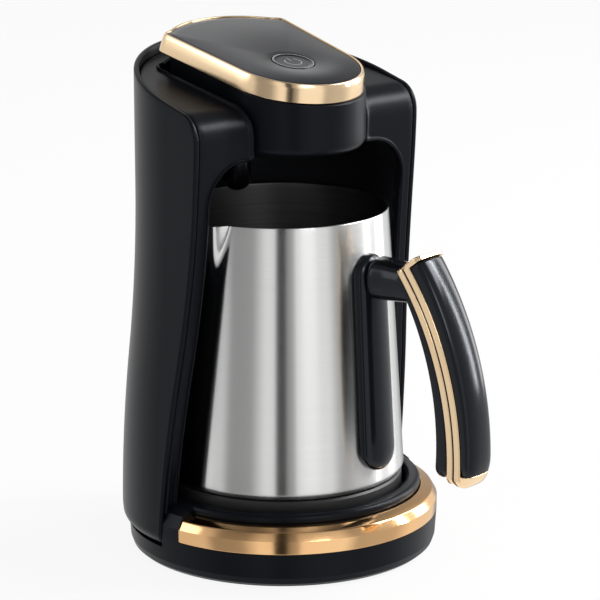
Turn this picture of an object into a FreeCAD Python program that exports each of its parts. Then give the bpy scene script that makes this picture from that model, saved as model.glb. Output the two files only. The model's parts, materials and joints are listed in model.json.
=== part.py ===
import FreeCAD, Part
import math
import os
from FreeCAD import Vector

# Electric Turkish coffee maker with a hot plate base, a casing round the jug bay and a pull-out steel jug
# Frame: millimetres, +Z up, front towards -Y, origin on the table under the middle of the round base

# Casing, seen from above: a half round at the back with straight sides running forward
CASING_HALF_TOP = 57.2
CASING_FLARE = 7.0
CASING_HALF_LOW = CASING_HALF_TOP + CASING_FLARE
CASING_FLARE_LOW = 12.0
CASING_FLARE_TOP = 150.0
CASING_CENTRE_Y = 2.5
CASING_BOTTOM = 10.5
CASING_TUCK_R = 6.0
CASING_TUCK_Z = 16.0
CASING_WALL = 2.2
COLUMN_WIDTH = 7.8
LINER_WALL = 2.0
FASCIA_WALL = 2.5
FIT = 0.15

# Top of the casing's rim, and the sloping deck just below it
RIM_HEIGHT = 188.0
RIM_SLOPE = 0.24
DECK_DROP = 0.8
DECK_HEIGHT = RIM_HEIGHT - DECK_DROP
DECK_SLOPE = 0.19

# Front line of the columns, as distance forward of the axis at four heights
FRONT_LINE = ((0.5, 12.0), (5.5, 60.0), (12.3, 115.0), (17.0, RIM_HEIGHT - 16.0))
FRONT_TOP_R = 11.0

# Jug bay
BAY_FLOOR = 28.6
BAY_TOP = RIM_HEIGHT - 23.0
BAY_ARCH_R = 16.0

# Head and lid, seen from above: a round nose whose sides flare back to a curved rear edge
NOSE_Y = -7.0
NOSE_R = 29.0
LID_CORNER_X = NOSE_R + 2.8
LID_CORNER_Y = 38.5
LID_REAR_Y = LID_CORNER_Y + 10.5
LID_CORNER_R = 5.0
LID_HEIGHT = RIM_HEIGHT + 13.2
LID_SLOPE = 0.2
LID_BAND = 7.4
LID_RIM = 2.0
LID_LEDGE = 3.0
PANEL_THICK = 2.2
PANEL_DROP = 0.2
HEAD_BOTTOM = BAY_TOP + 1.0
HEAD_WALL = 2.2
HEAD_INSET = 0.4
HEAD_EDGE_R = 4.0
NECK_INSET = 3.5
NECK_DEPTH = 6.0
HEAD_GAP = 0.8
FLANGE_REACH = 3.0
FLANGE_THICK = 2.0

# Cover under the nose, with a shallow dish
UNDERSIDE_RISE = 0.6
UNDERSIDE_THICK = 2.0
UNDERSIDE_RIM = 8.0

# Boil-over probe in the bay ceiling and its board
PROBE_R = 5.8
PROBE_Y = 29.0
PROBE_TIP = BAY_TOP - 23.0
PROBE_TIP_R = PROBE_R - 0.6
PROBE_LIP = 1.3
PROBE_LIP_THICK = 1.5
PROBE_WALL = 1.5
PROBE_BOARD_THICK = 1.2

# Button, board and switch under the lid, measured along the lid's normal
BUTTON_Y = -7.0
BUTTON_R = 8.6
BUTTON_THICK = 1.8
BUTTON_GAP = 0.3
BUTTON_POST_R = 2.4
BOARD_DEPTH = 12.0
BOARD_THICK = 1.6
BOARD_TOP = -BOARD_DEPTH + BOARD_THICK
BOARD_POSTS = ((-17, -16), (17, -16), (-17, 24), (17, 24))
BOARD_POST_R = 2.6
BOARD_SCREW_R = 1.0
SWITCH_TOP = -5.6
SWITCH_BODY = 3.4
SWITCH_HALF = 3.1
STEM_HALF = 1.5
STEM_GAP = 0.3
GUIDE_R = BUTTON_R - 1.0
GUIDE_WALL = 2.0
GUIDE_TOP = -3.4
BUZZER_R = 6.0
BUZZER_Y = 14.0
BUZZER_TALL = 5.5

# Power board on the bay's ceiling: two corners and the height of its underside
POWER_BOARD = ((CASING_HALF_TOP - 25.2, -6.0), (CASING_HALF_TOP - 8.2, 24.0), BAY_TOP + 6.5)
POWER_POST_R = 2.2
RELAY_SIZE = (12.0, 10.0, 9.0)
CAPACITOR_SIZE = (10.0, 6.0, 9.0)

# Base
BASE_R = CASING_HALF_LOW - 1.0
BASE_BOTTOM_R = BASE_R - 3.2
BASE_UNDERSIDE = 0.8
BASE_WALL = 2.2
BASE_DECK = 23.6
BASE_BOSS_R = 3.5
BASE_BOSS_RING = BASE_BOTTOM_R - 7.0
BASE_BOSS_ANGLES = (30, 150, 210, 330)
SHELL_CLEAR = 4.7
TRIM_END_Y = -10.5
TRIM_THICK = 1.2
TRIM_LOW = 14.7
TRIM_EDGE = 20.0
TRIM_LIP = 23.2
TRIM_TOP = 25.0
SEAT_R = BASE_R - 7.0
SEAT_WIDTH = 5.8
SEAT_BORE = SEAT_R - SEAT_WIDTH
SEAT_TOP = 28.5
COVER_TOP = 3.0
COVER_EDGE = 2.0
VENT_COUNT = 7
VENT_PITCH = 7.0
VENT_HALF_WIDE = 1.2
VENT_HALF_LONG = 14.0
FOOT_RING_R = BASE_BOTTOM_R - 12.0
FOOT_RING_WIDTH = 5.0
FOOT_GROOVE = 0.9

# Hot plate, its heating element, thermostat and fuse
PLATE_GAP = 1.8
PLATE_R = SEAT_BORE - PLATE_GAP
PLATE_TOP = 31.5
PLATE_SKIN = 3.0
PLATE_WALL = 4.0
GASKET_WIDTH = 3.5
GASKET_THICK = 1.0
ELEMENT_R = PLATE_R - 16.6
ELEMENT_TUBE = 3.4
ELEMENT_CHAMFER = 1.5
ELEMENT_OPEN = 40.0
ELEMENT_PIN_R = 1.8
ELEMENT_PIN_LONG = 6.0
THERMOSTAT_R = 9.0
THERMOSTAT_LOW = 18.0
THERMOSTAT_STEP = 4.0
CLIP_WIDTH = 19.0
CLIP_THICK = 1.2
CLIP_FOOT = 8.0
FUSE_R = 2.0
FUSE_LONG = 12.0
FUSE_Y = -19.0
FUSE_LEAD_R = 0.6
FUSE_LEAD_LONG = 6.0

# Cord inlet at the back of the base, and the leads inside
GLAND_Z = 8.0
GLAND_R = 4.7
GLAND_BORE = 3.3
GLAND_LIP = 2.5
GLAND_NECK = 9.0
HARNESS_X = 9.0
HARNESS_R = 1.2
HARNESS_STEP = 27.0
HARNESS_TOP = BAY_TOP - 5.0
HARNESS_SLOT = 3.0
TERMINAL_Y = 34.0
TERMINAL_HALF_WIDE = 14.0
TERMINAL_DEEP = 9.0
TERMINAL_TALL = 9.0
TERMINAL_PITCH = 9.0

# Jug
JUG_LOW_R = PLATE_R + 1.0
JUG_RIM_R = JUG_LOW_R - 6.9
JUG_RIM_Z = BAY_TOP - 24.3
JUG_WALL = 0.9
JUG_CORNER_R = 3.0
JUG_DISC_R = JUG_LOW_R - 5.1
JUG_DISC_THICK = 1.8
SPOUT_REACH = 5.4
SPOUT_R = 9.5
SPOUT_ROOT_R = 2.5
SPOUT_DROP = 29.0

# Handle: it turns a little to the right of the front
HANDLE_TURN = 10.0
TURN = -90.0 + HANDLE_TURN
BRACKET_WIDTH = 18.0
BRACKET_THICK = 5.0
BRACKET_EDGE_R = 2.2
BRACKET_LOW = 40.0
BRACKET_TOP = JUG_RIM_Z - 13.1
ARM_LOW = BRACKET_TOP - 17.2
ARM_TOP = BRACKET_TOP - 1.0
ARM_WIDTH = 14.0
ARM_EDGE_R = 4.5
HANDLE_SCREW_IN = 4.5

# Grip: three points of its line, from the top down, then its layers from the jug outwards
GRIP_LOW_Z = BRACKET_LOW + 5.5
GRIP_MIDDLE_Z = (BRACKET_TOP + GRIP_LOW_Z) / 2.0 + 0.45
GRIP_LINE = (
    (JUG_RIM_R + 27.7, BRACKET_TOP),
    (JUG_RIM_R + 48.3, GRIP_MIDDLE_Z),
    (JUG_RIM_R + 53.5, GRIP_LOW_Z),
)
GRIP_WIDTH = 16.0
BAND_PROUD = 0.6
TRIM_BAND = 2.8
TRIM_SEAM = 0.8
BAND_TOTAL = 2 * TRIM_BAND + TRIM_SEAM
LAYER_GAP = 0.12
CORE_TOP = 2.6
CORE_LOW = 7.6
CORE_EDGE_R = 1.8
CROWN_TOP = 6.0
CROWN_LOW = 3.6
CROWN_EDGE_R = 2.6
COVER_FOOT_R = 6.0
CAP_TOP = -0.018
CAP_LOW = 1.035

# How far construction blocks reach beyond everything else
FAR = CASING_HALF_LOW + 25.8
UP = Vector(0, 0, 1)
BACK = Vector(0, 1, 0)
ORIGIN = Vector(0, 0, 0)


def line(a, b):
    return Part.LineSegment(a, b).toShape()


def arc(a, b, c):
    return Part.Arc(a, b, c).toShape()


def smooth(points):
    curve = Part.BSplineCurve()
    curve.interpolate(points)
    return curve.toShape()


def face_of(edges):
    return Part.Face(Part.Wire(Part.__sortEdges__(edges)))


def polygon(points):
    return Part.Face(Part.makePolygon(points + [points[0]]))


def cylinder(radius, low, high, x=0.0, y=0.0):
    return Part.makeCylinder(radius, high - low, Vector(x, y, low))


def box(low, high):
    size = [high[i] - low[i] for i in range(3)]
    return Part.makeBox(size[0], size[1], size[2], Vector(*low))


def ring(outer, inner, low, high):
    return cylinder(outer, low, high).cut(cylinder(inner, low - 1, high + 1))


def lathe(profile):
    """A full turn about Z of a closed outline of (radius, height) corners."""
    outline = polygon([Vector(r, 0, z) for r, z in profile])
    return outline.revolve(ORIGIN, UP, 360)


def edges_where(shape, test):
    return [e for e in shape.Edges if test(e)]


def at_height(z, tolerance=0.02):
    def test(edge):
        return all(abs(v.Z - z) < tolerance for v in edge.Vertexes)
    return test


# Casing form

def half_width(z, inset=0.0):
    """Half the casing's width: wide at the base, drawn in through two equal arcs to the straight upper part."""
    rise = (CASING_FLARE_TOP - CASING_FLARE_LOW) / 2.0
    step = (CASING_HALF_LOW - CASING_HALF_TOP) / 2.0
    radius = (rise * rise + step * step) / (2.0 * step)
    if z <= CASING_FLARE_LOW:
        return CASING_HALF_LOW - inset
    if z >= CASING_FLARE_TOP:
        return CASING_HALF_TOP - inset
    if z < CASING_FLARE_LOW + rise:
        above = z - CASING_FLARE_LOW
        return CASING_HALF_LOW - (radius - math.sqrt(radius * radius - above * above)) - inset
    below = CASING_FLARE_TOP - z
    return CASING_HALF_TOP + (radius - math.sqrt(radius * radius - below * below)) - inset


def side_edges(inset, low, high):
    """The half section's outer line from low to high: two tangent arcs that form the flare, then a straight."""
    middle = (CASING_FLARE_LOW + CASING_FLARE_TOP) / 2.0
    stops = [low] + [z for z in (CASING_FLARE_LOW, middle, CASING_FLARE_TOP) if low < z < high] + [high]
    edges = []
    for a, b in zip(stops, stops[1:]):
        start = section_point(half_width(a, inset), a)
        end = section_point(half_width(b, inset), b)
        halfway = section_point(half_width((a + b) / 2.0, inset), (a + b) / 2.0)
        if a >= CASING_FLARE_TOP or b <= CASING_FLARE_LOW:
            edges.append(line(start, end))
        else:
            edges.append(arc(start, halfway, end))
    return edges


def round_and_sides(face):
    """Turn a half section through 180 degrees round the back, and run it straight forward on both sides."""
    centre = Vector(0, CASING_CENTRE_Y, 0)
    back = face.revolve(centre, UP, 180)
    right = face.extrude(Vector(0, -FAR, 0))
    left = right.mirror(ORIGIN, Vector(1, 0, 0))
    return back.fuse(right).fuse(left).removeSplitter()


def section_point(x, z):
    return Vector(x, CASING_CENTRE_Y, z)


def wall_section(outer, inner, low, high):
    bottom = line(section_point(half_width(low, inner), low), section_point(half_width(low, outer), low))
    top = line(section_point(half_width(high, outer), high), section_point(half_width(high, inner), high))
    return face_of(side_edges(outer, low, high) + side_edges(inner, low, high) + [top, bottom])


def solid_section(inset, low, high):
    bottom = line(section_point(0, low), section_point(half_width(low, inset), low))
    top = line(section_point(half_width(high, inset), high), section_point(0, high))
    axis = line(section_point(0, high), section_point(0, low))
    return face_of(side_edges(inset, low, high) + [top, axis, bottom])


def front_curve(back_by):
    """The columns' front line in the YZ plane, moved back by the given distance."""
    return [Vector(0, back_by - forward, z) for forward, z in FRONT_LINE]


def side_view(back_by, drop, height, slope, low):
    """Everything behind the front line and under the sloping top, as one block across the machine."""
    points = front_curve(back_by)
    front_y = points[-1].y
    radius = FRONT_TOP_R - back_by
    angle = math.atan(slope)
    top_line = height - drop
    centre_y = front_y + radius
    centre_z = top_line + slope * centre_y - radius / math.cos(angle)
    start = Vector(0, front_y, centre_z)
    middle_angle = math.radians(180.0) - (math.radians(90.0) - angle) / 2.0
    middle = Vector(0, centre_y + radius * math.cos(middle_angle), centre_z + radius * math.sin(middle_angle))
    end_angle = math.radians(90.0) + angle
    end = Vector(0, centre_y + radius * math.cos(end_angle), centre_z + radius * math.sin(end_angle))
    rear_top = Vector(0, FAR, top_line + slope * FAR)
    bottom = Vector(0, points[0].y, low)
    outline = [
        smooth(points),
        line(points[-1], start),
        arc(start, middle, end),
        line(end, rear_top),
        line(rear_top, Vector(0, FAR, low)),
        line(Vector(0, FAR, low), bottom),
        line(bottom, points[0]),
    ]
    face = face_of(outline)
    face.translate(Vector(-FAR, 0, 0))
    return face.extrude(Vector(2 * FAR, 0, 0))


# Lid form

def lid_outline(inset=0.0):
    """Round nose, straight flaring sides, rounded rear corners and a shallow rear arc."""
    r = NOSE_R - inset
    corner_x = LID_CORNER_X - inset
    corner_y = LID_CORNER_Y - inset
    rear_y = LID_REAR_Y - inset
    flare = math.atan((LID_CORNER_X - NOSE_R) / (LID_CORNER_Y - NOSE_Y))
    side = Vector(r * math.cos(flare), NOSE_Y + r * math.sin(-flare), 0)
    corner_r = max(LID_CORNER_R - inset, 0.8)
    corner = Vector(corner_x, corner_y, 0)
    along = (side - corner).normalize()
    start = corner + along * corner_r
    end = corner + Vector(-corner_r * 0.94, corner_r * 0.34, 0)
    middle = corner + (along + Vector(-0.94, 0.34, 0)) * (corner_r * 0.27)
    nose = Vector(0, NOSE_Y - r, 0)

    def flip(v):
        return Vector(-v.x, v.y, v.z)

    edges = [
        arc(flip(side), nose, side),
        line(side, start),
        arc(start, middle, end),
        arc(end, Vector(0, rear_y, 0), flip(end)),
        arc(flip(end), flip(middle), flip(start)),
        line(flip(start), flip(side)),
    ]
    return face_of(edges)


def lid_prism(inset, low=BAY_TOP - 25.0):
    high = LID_HEIGHT + 28.8
    face = lid_outline(inset)
    face.translate(Vector(0, 0, low))
    return face.extrude(Vector(0, 0, high - low))


def tilted(shape):
    """Take a shape from the lid's own flat frame to its place on the sloping top."""
    placed = shape.copy()
    placed.rotate(ORIGIN, Vector(1, 0, 0), math.degrees(math.atan(LID_SLOPE)))
    placed.translate(Vector(0, 0, LID_HEIGHT))
    return placed


def slab(low, high):
    return tilted(box((-FAR, -FAR, low), (FAR, FAR, high)))


def lid_column(radius, low, high, x=0.0, y=0.0):
    return tilted(cylinder(radius, low, high, x, y))


# Casing parts

def rear_shell():
    """Outer casing: one wall round the back and both sides, tucked in at its lower edge."""
    r = CASING_TUCK_R
    cx = half_width(CASING_TUCK_Z) - r
    drop = math.asin((CASING_TUCK_Z - CASING_BOTTOM) / r)
    outer_low = section_point(cx + r * math.cos(drop), CASING_BOTTOM)
    outer_mid = section_point(cx + r * math.cos(drop / 2), CASING_TUCK_Z - r * math.sin(drop / 2))
    outer_top = section_point(cx + r, CASING_TUCK_Z)
    ri = r - CASING_WALL
    inner_low = section_point(cx + ri * math.cos(drop), CASING_TUCK_Z - ri * math.sin(drop))
    inner_mid = section_point(cx + ri * math.cos(drop / 2), CASING_TUCK_Z - ri * math.sin(drop / 2))
    inner_top = section_point(cx + ri, CASING_TUCK_Z)
    high = RIM_HEIGHT + RIM_SLOPE * FAR
    edges = side_edges(0.0, CASING_TUCK_Z, high) + side_edges(CASING_WALL, CASING_TUCK_Z, high)
    section = face_of(edges + [
        arc(outer_low, outer_mid, outer_top),
        line(section_point(half_width(high), high), section_point(half_width(high, CASING_WALL), high)),
        arc(inner_top, inner_mid, inner_low),
        line(inner_low, outer_low),
    ])
    wall = round_and_sides(section)
    shell = wall.common(side_view(0.0, 0.0, RIM_HEIGHT, RIM_SLOPE, 0.0))
    rear_y = CASING_CENTRE_Y + half_width(GLAND_Z)
    notch = Part.makeCylinder(GLAND_R + 1.0, 30, Vector(0, rear_y - 20, GLAND_Z), BACK)
    return shell.cut(notch)


def head_clearance():
    return lid_prism(-HEAD_GAP, BAY_TOP - 1.0)


def front_fascia():
    """Front frame: two columns, the arch over the bay, and shoulders that roll back into a sloping deck."""
    inset = CASING_WALL + FIT
    high = DECK_HEIGHT + 20.0
    body = round_and_sides(solid_section(inset, BAY_FLOOR, high))
    outside = side_view(0.0, 0.0, DECK_HEIGHT, DECK_SLOPE, BAY_FLOOR)
    inside = side_view(FASCIA_WALL, FASCIA_WALL, DECK_HEIGHT, DECK_SLOPE, BAY_FLOOR - 5)
    frame = body.common(outside).cut(inside)
    frame = frame.cut(arch_block(0.0, BAY_FLOOR - 5))
    frame = frame.cut(head_clearance())
    return frame.removeSplitter()


def arch_section(inset, low):
    """Half section of the bay: a straight side that follows the casing, a round corner and a flat ceiling."""
    reach = COLUMN_WIDTH - inset
    top = BAY_TOP + inset
    radius = BAY_ARCH_R + inset
    spring = top - radius
    side_x = half_width(spring, reach)
    diagonal = radius * math.sqrt(0.5)
    return face_of(side_edges(reach, low, spring) + [
        arc(section_point(side_x, spring),
            section_point(side_x - radius + diagonal, spring + diagonal),
            section_point(side_x - radius, top)),
        line(section_point(side_x - radius, top), section_point(0, top)),
        line(section_point(0, top), section_point(0, low)),
        line(section_point(0, low), section_point(half_width(low, reach), low)),
    ])


def arch_block(inset, low):
    return round_and_sides(arch_section(inset, low))


def bay_liner():
    """Inner skin of the jug bay, wall and ceiling in one moulding, with a round hole for the head."""
    skin = arch_block(LINER_WALL, BAY_FLOOR).cut(arch_block(0.0, BAY_FLOOR - 1))
    skin = skin.common(side_view(FASCIA_WALL + FIT, 0.0, RIM_HEIGHT, RIM_SLOPE, 0.0))
    skin = skin.cut(cylinder(NOSE_R + FIT, BAY_TOP - 1, BAY_TOP + 5, 0, NOSE_Y))
    return skin.cut(cylinder(PROBE_R + FIT, BAY_TOP - 1, BAY_TOP + 5, 0, PROBE_Y))


def head_shell():
    """Round nose that hangs in front of the fascia, and the neck that carries the lid behind it."""
    above = LID_HEIGHT + 28.8
    nose = cylinder(NOSE_R - HEAD_INSET, HEAD_BOTTOM, above, 0, NOSE_Y)
    nose = nose.makeFillet(HEAD_EDGE_R, edges_where(nose, at_height(HEAD_BOTTOM)))
    neck_low = DECK_HEIGHT - NECK_DEPTH
    neck = lid_prism(NECK_INSET, neck_low)
    hollow = cylinder(NOSE_R - HEAD_INSET - HEAD_WALL, HEAD_BOTTOM - 1, above, 0, NOSE_Y)
    hollow = hollow.fuse(lid_prism(NECK_INSET + HEAD_WALL, neck_low - 1))
    under_deck = FASCIA_WALL + FIT
    flange = lid_prism(-HEAD_GAP - FLANGE_REACH, BAY_TOP + 6.0)
    flange = flange.common(side_view(under_deck, under_deck, DECK_HEIGHT, DECK_SLOPE, BAY_TOP))
    below = under_deck + FLANGE_THICK
    flange = flange.cut(side_view(below, below, DECK_HEIGHT, DECK_SLOPE, BAY_TOP - 5))
    body = nose.fuse(neck).fuse(flange).cut(hollow)
    return body.common(slab(-60.0, -LID_BAND)).removeSplitter()


def head_underside():
    """Flat cover that closes the nose from below."""
    radius = NOSE_R - HEAD_INSET - HEAD_WALL - FIT
    low = HEAD_BOTTOM + UNDERSIDE_RISE
    cover = cylinder(radius, low, low + UNDERSIDE_THICK, 0, NOSE_Y)
    dish = cylinder(radius - UNDERSIDE_RIM, HEAD_BOTTOM, low + 0.8, 0, NOSE_Y)
    return cover.cut(dish)


def sensor_probe():
    """Boil-over probe: a round-tipped finger that hangs from the bay ceiling over the back of the jug."""
    ceiling = BAY_TOP + LINER_WALL
    flange_top = ceiling + PROBE_LIP_THICK
    finger = cylinder(PROBE_R, PROBE_TIP, ceiling, 0, PROBE_Y)
    finger = finger.makeFillet(PROBE_TIP_R, edges_where(finger, at_height(PROBE_TIP)))
    flange = cylinder(PROBE_R + PROBE_LIP, ceiling, flange_top, 0, PROBE_Y)
    core = cylinder(PROBE_R - PROBE_WALL, PROBE_TIP + 8, flange_top + 1, 0, PROBE_Y)
    return finger.fuse(flange).cut(core).removeSplitter()


def sensor_board():
    low = BAY_TOP + LINER_WALL + PROBE_LIP_THICK
    return box((-7, PROBE_Y - 5, low), (7, PROBE_Y + 10, low + PROBE_BOARD_THICK))


# Lid parts

def lid_trim():
    """Metal-look band round the lid, with a chamfered top edge and a rebate for the panel."""
    band = lid_prism(0.0).common(slab(-LID_BAND, 0.0))
    rebate = lid_prism(LID_RIM).common(slab(-PANEL_THICK - PANEL_DROP, 1.0))
    hole = lid_prism(LID_RIM + LID_LEDGE)
    return band.cut(rebate).cut(hole).removeSplitter()


def control_panel():
    """Gloss top panel with a round hole for the button and four screw posts under it."""
    panel = lid_prism(LID_RIM + FIT).common(slab(-PANEL_THICK - PANEL_DROP, -PANEL_DROP))
    panel = panel.cut(lid_column(BUTTON_R + BUTTON_GAP, -5, 1, 0, BUTTON_Y))
    for x, y in BOARD_POSTS:
        panel = panel.fuse(lid_column(BOARD_POST_R, BOARD_TOP, -PANEL_THICK, x, y))
    for x, y in BOARD_POSTS:
        panel = panel.cut(lid_column(BOARD_SCREW_R + 0.1, -BOARD_DEPTH, -PANEL_THICK - 1.0, x, y))
    return panel.removeSplitter()


def control_board():
    board = tilted(box((-20, -20, -BOARD_DEPTH), (20, 28, BOARD_TOP)))
    for x, y in BOARD_POSTS:
        board = board.cut(lid_column(BOARD_SCREW_R + 0.3, -BOARD_DEPTH - 1, BOARD_TOP + 1.4, x, y))
    return board


def board_screws():
    screws = []
    for x, y in BOARD_POSTS:
        head = lid_column(2.3 * BOARD_SCREW_R, -BOARD_DEPTH - 1.5, -BOARD_DEPTH, x, y)
        shank = lid_column(BOARD_SCREW_R, -BOARD_DEPTH, -BOARD_DEPTH + 6.5, x, y)
        screws.append(head.fuse(shank).removeSplitter())
    return Part.makeCompound(screws)


def power_button():
    """Flush round button with a stepped post that reaches down to the switch."""
    top = -PANEL_DROP
    cap = cylinder(BUTTON_R, top - BUTTON_THICK, top, 0, BUTTON_Y)
    cap = cap.makeFillet(0.4, edges_where(cap, at_height(top)))
    post = cylinder(BUTTON_POST_R, SWITCH_TOP, top - BUTTON_THICK, 0, BUTTON_Y)
    return tilted(cap.fuse(post).removeSplitter())


def switch_stem():
    low = BOARD_TOP + 1.4
    return tilted(box((-STEM_HALF, BUTTON_Y - STEM_HALF, low), (STEM_HALF, BUTTON_Y + STEM_HALF, SWITCH_TOP)))


def tact_switch():
    low = BOARD_TOP
    half = SWITCH_HALF
    case = box((-half, BUTTON_Y - half, low), (half, BUTTON_Y + half, low + SWITCH_BODY))
    gap = STEM_HALF + STEM_GAP
    well = box((-gap, BUTTON_Y - gap, low + 0.3), (gap, BUTTON_Y + gap, low + 9))
    return tilted(case.cut(well))


def light_guide():
    """Clear ring that carries the board's lamps up to the button's edge."""
    tube = cylinder(GUIDE_R, BOARD_TOP, GUIDE_TOP, 0, BUTTON_Y)
    tube = tube.cut(cylinder(GUIDE_R - GUIDE_WALL, BOARD_TOP - 1, 0, 0, BUTTON_Y))
    return tilted(tube)


def buzzer():
    top = BOARD_TOP + BUZZER_TALL
    can = cylinder(BUZZER_R, BOARD_TOP, top, 0, BUZZER_Y)
    can = can.cut(cylinder(1.0, top - 1.5, top + 0.5, 0, BUZZER_Y))
    return tilted(can)


# Electrics above the bay

def power_board():
    (x0, y0), (x1, y1), low = POWER_BOARD
    return box((x0, y0, low), (x1, y1, low + BOARD_THICK))


def board_posts():
    """Four short posts that stand the power board off the bay ceiling."""
    (x0, y0), (x1, y1), low = POWER_BOARD
    posts = []
    for x in (x0 + 3, x1 - 8):
        for y in (y0 + 3, y1 - 3):
            posts.append(cylinder(POWER_POST_R, BAY_TOP + LINER_WALL, low, x, y))
    return posts


def power_relay():
    (x0, y0), (x1, y1), low = POWER_BOARD
    wide, deep, tall = RELAY_SIZE
    x, y, floor = x0 + 2, y0 + 3, low + BOARD_THICK
    return box((x, y, floor), (x + wide, y + deep, floor + tall))


def capacitor():
    (x0, y0), (x1, y1), low = POWER_BOARD
    wide, deep, tall = CAPACITOR_SIZE
    x, y, floor = x0 + 3, y0 + 17, low + BOARD_THICK
    return box((x, y, floor), (x + wide, y + deep, floor + tall))


# Base parts

def trim_profile(inset):
    """Outline of the base's upper edge: upright band, chamfered lip and a shallow slope inwards."""
    return [
        (BASE_R - inset, TRIM_LOW),
        (BASE_R - inset, TRIM_EDGE - 0.3 * inset),
        (BASE_R - 1.8 - 0.8 * inset, TRIM_LIP - 0.9 * inset),
        (SEAT_R + FIT, TRIM_TOP - inset),
    ]


def base_profile(inset):
    """Outer line of the base, from the middle of its underside up to the seat, drawn in by the inset."""
    return [
        (0, BASE_UNDERSIDE + inset),
        (BASE_BOTTOM_R - inset, BASE_UNDERSIDE + inset),
        (BASE_BOTTOM_R + 1.6 - inset, BASE_UNDERSIDE + 1.4 + inset),
        (BASE_BOTTOM_R + 2.5 - inset, BASE_UNDERSIDE + 4.0 + inset),
        (BASE_R - inset, TRIM_LOW),
        (BASE_R - inset, TRIM_EDGE - 0.4 * inset),
        (BASE_R - 2.2 - 0.8 * inset, TRIM_LIP + 1.6 - inset),
        (SEAT_R + 1.8, SEAT_TOP - 1.2 - inset),
        (SEAT_R + FIT, SEAT_TOP - 0.4 - inset),
        (0, SEAT_TOP - 0.4 - inset),
    ]


def inside_casing(inset):
    """The space outside the base where the casing's wall comes down over it."""
    low = CASING_BOTTOM - 0.2 - (inset - SHELL_CLEAR)
    wall = round_and_sides(wall_section(-8.0, inset, low, SEAT_TOP + 4))
    return wall.common(side_view(-FIT - inset + SHELL_CLEAR, 0.0, RIM_HEIGHT, RIM_SLOPE, 0.0))


def base_bosses():
    """Centres of the four screw bosses in the base."""
    angles = [math.radians(a) for a in BASE_BOSS_ANGLES]
    return [(BASE_BOSS_RING * math.cos(a), BASE_BOSS_RING * math.sin(a)) for a in angles]


def base_body():
    """Round black base: rounded foot edge, wall stepped in under the casing, deck with an opening for the plate."""
    body = lathe(base_profile(0.0)).cut(inside_casing(SHELL_CLEAR))
    seat = trim_profile(TRIM_THICK + 0.02)
    rise = [(BASE_R + 3, seat[0][1]), (BASE_R + 3, SEAT_TOP + 3), (seat[3][0], SEAT_TOP + 3)]
    rebate = lathe(seat + rise[::-1])
    front = box((-FAR, -FAR, 0), (FAR, TRIM_END_Y, FAR))
    body = body.cut(rebate.common(front))
    body = body.cut(cylinder(SEAT_R + FIT, BASE_DECK, FAR))
    body = body.cut(cylinder(PLATE_R - PLATE_WALL, BASE_DECK - 5, FAR))
    hollow = lathe(base_profile(BASE_WALL)).cut(inside_casing(SHELL_CLEAR + BASE_WALL))
    lowered = [(r - BASE_WALL, z - BASE_WALL) for r, z in seat]
    lowered += [(BASE_R + 3, SEAT_TOP), (BASE_R + 3, TRIM_LOW - 3)]
    under_trim = lathe(lowered).common(box((-FAR, -FAR, 0), (FAR, TRIM_END_Y + BASE_WALL, FAR)))
    hollow = hollow.cut(under_trim)
    hollow = hollow.cut(ring(FAR, 0.1, BASE_DECK - BASE_WALL, FAR).common(cylinder(SEAT_R + 2.0, 0, FAR)))
    body = body.cut(hollow)
    body = body.cut(cylinder(BASE_BOTTOM_R - COVER_EDGE, 0, COVER_TOP + 0.5))
    gland = Part.makeCylinder(GLAND_R - 1.2 + FIT, 30, Vector(0, BASE_R - 20, GLAND_Z), BACK)
    body = body.cut(gland)
    slot_left = HARNESS_X - HARNESS_SLOT
    slot_right = HARNESS_X + HARNESS_SLOT
    body = body.cut(box((slot_left, BASE_R - 14, 11), (slot_right, BASE_R + 5, SEAT_TOP + 5)))
    for x, y in base_bosses():
        body = body.fuse(cylinder(BASE_BOSS_R, COVER_TOP, BASE_DECK - 1.0, x, y))
    for x, y in base_bosses():
        body = body.cut(cylinder(1.3, COVER_TOP - 1, COVER_TOP + 11, x, y))
    return body.removeSplitter()


def base_trim():
    """Metal-look horseshoe on the base's front edge."""
    outer = trim_profile(0.0)
    inner = trim_profile(TRIM_THICK)
    band = lathe(outer + inner[::-1])
    return band.common(box((-FAR, -FAR, 0), (FAR, TRIM_END_Y - 0.1, FAR)))


def seat_ring():
    """Black ring round the hot plate, rounded outside and bevelled inside."""
    return lathe([
        (SEAT_BORE, BASE_DECK),
        (SEAT_R, BASE_DECK),
        (SEAT_R, SEAT_TOP - 1.6),
        (SEAT_R - 0.5, SEAT_TOP - 0.5),
        (SEAT_R - 1.6, SEAT_TOP),
        (SEAT_BORE + 1.6, SEAT_TOP),
        (SEAT_BORE, SEAT_TOP - 1.8),
    ])


def plate_gasket():
    return ring(PLATE_R, PLATE_R - GASKET_WIDTH, BASE_DECK, BASE_DECK + GASKET_THICK)


def heating_plate():
    """Cast cup, open below, whose flat top carries the jug."""
    low = BASE_DECK + GASKET_THICK
    bore = PLATE_R - PLATE_WALL
    return lathe([
        (0, PLATE_TOP - PLATE_SKIN),
        (bore, PLATE_TOP - PLATE_SKIN),
        (bore, low),
        (PLATE_R, low),
        (PLATE_R, PLATE_TOP - 0.8),
        (PLATE_R - 0.8, PLATE_TOP),
        (0, PLATE_TOP),
    ])


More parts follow.
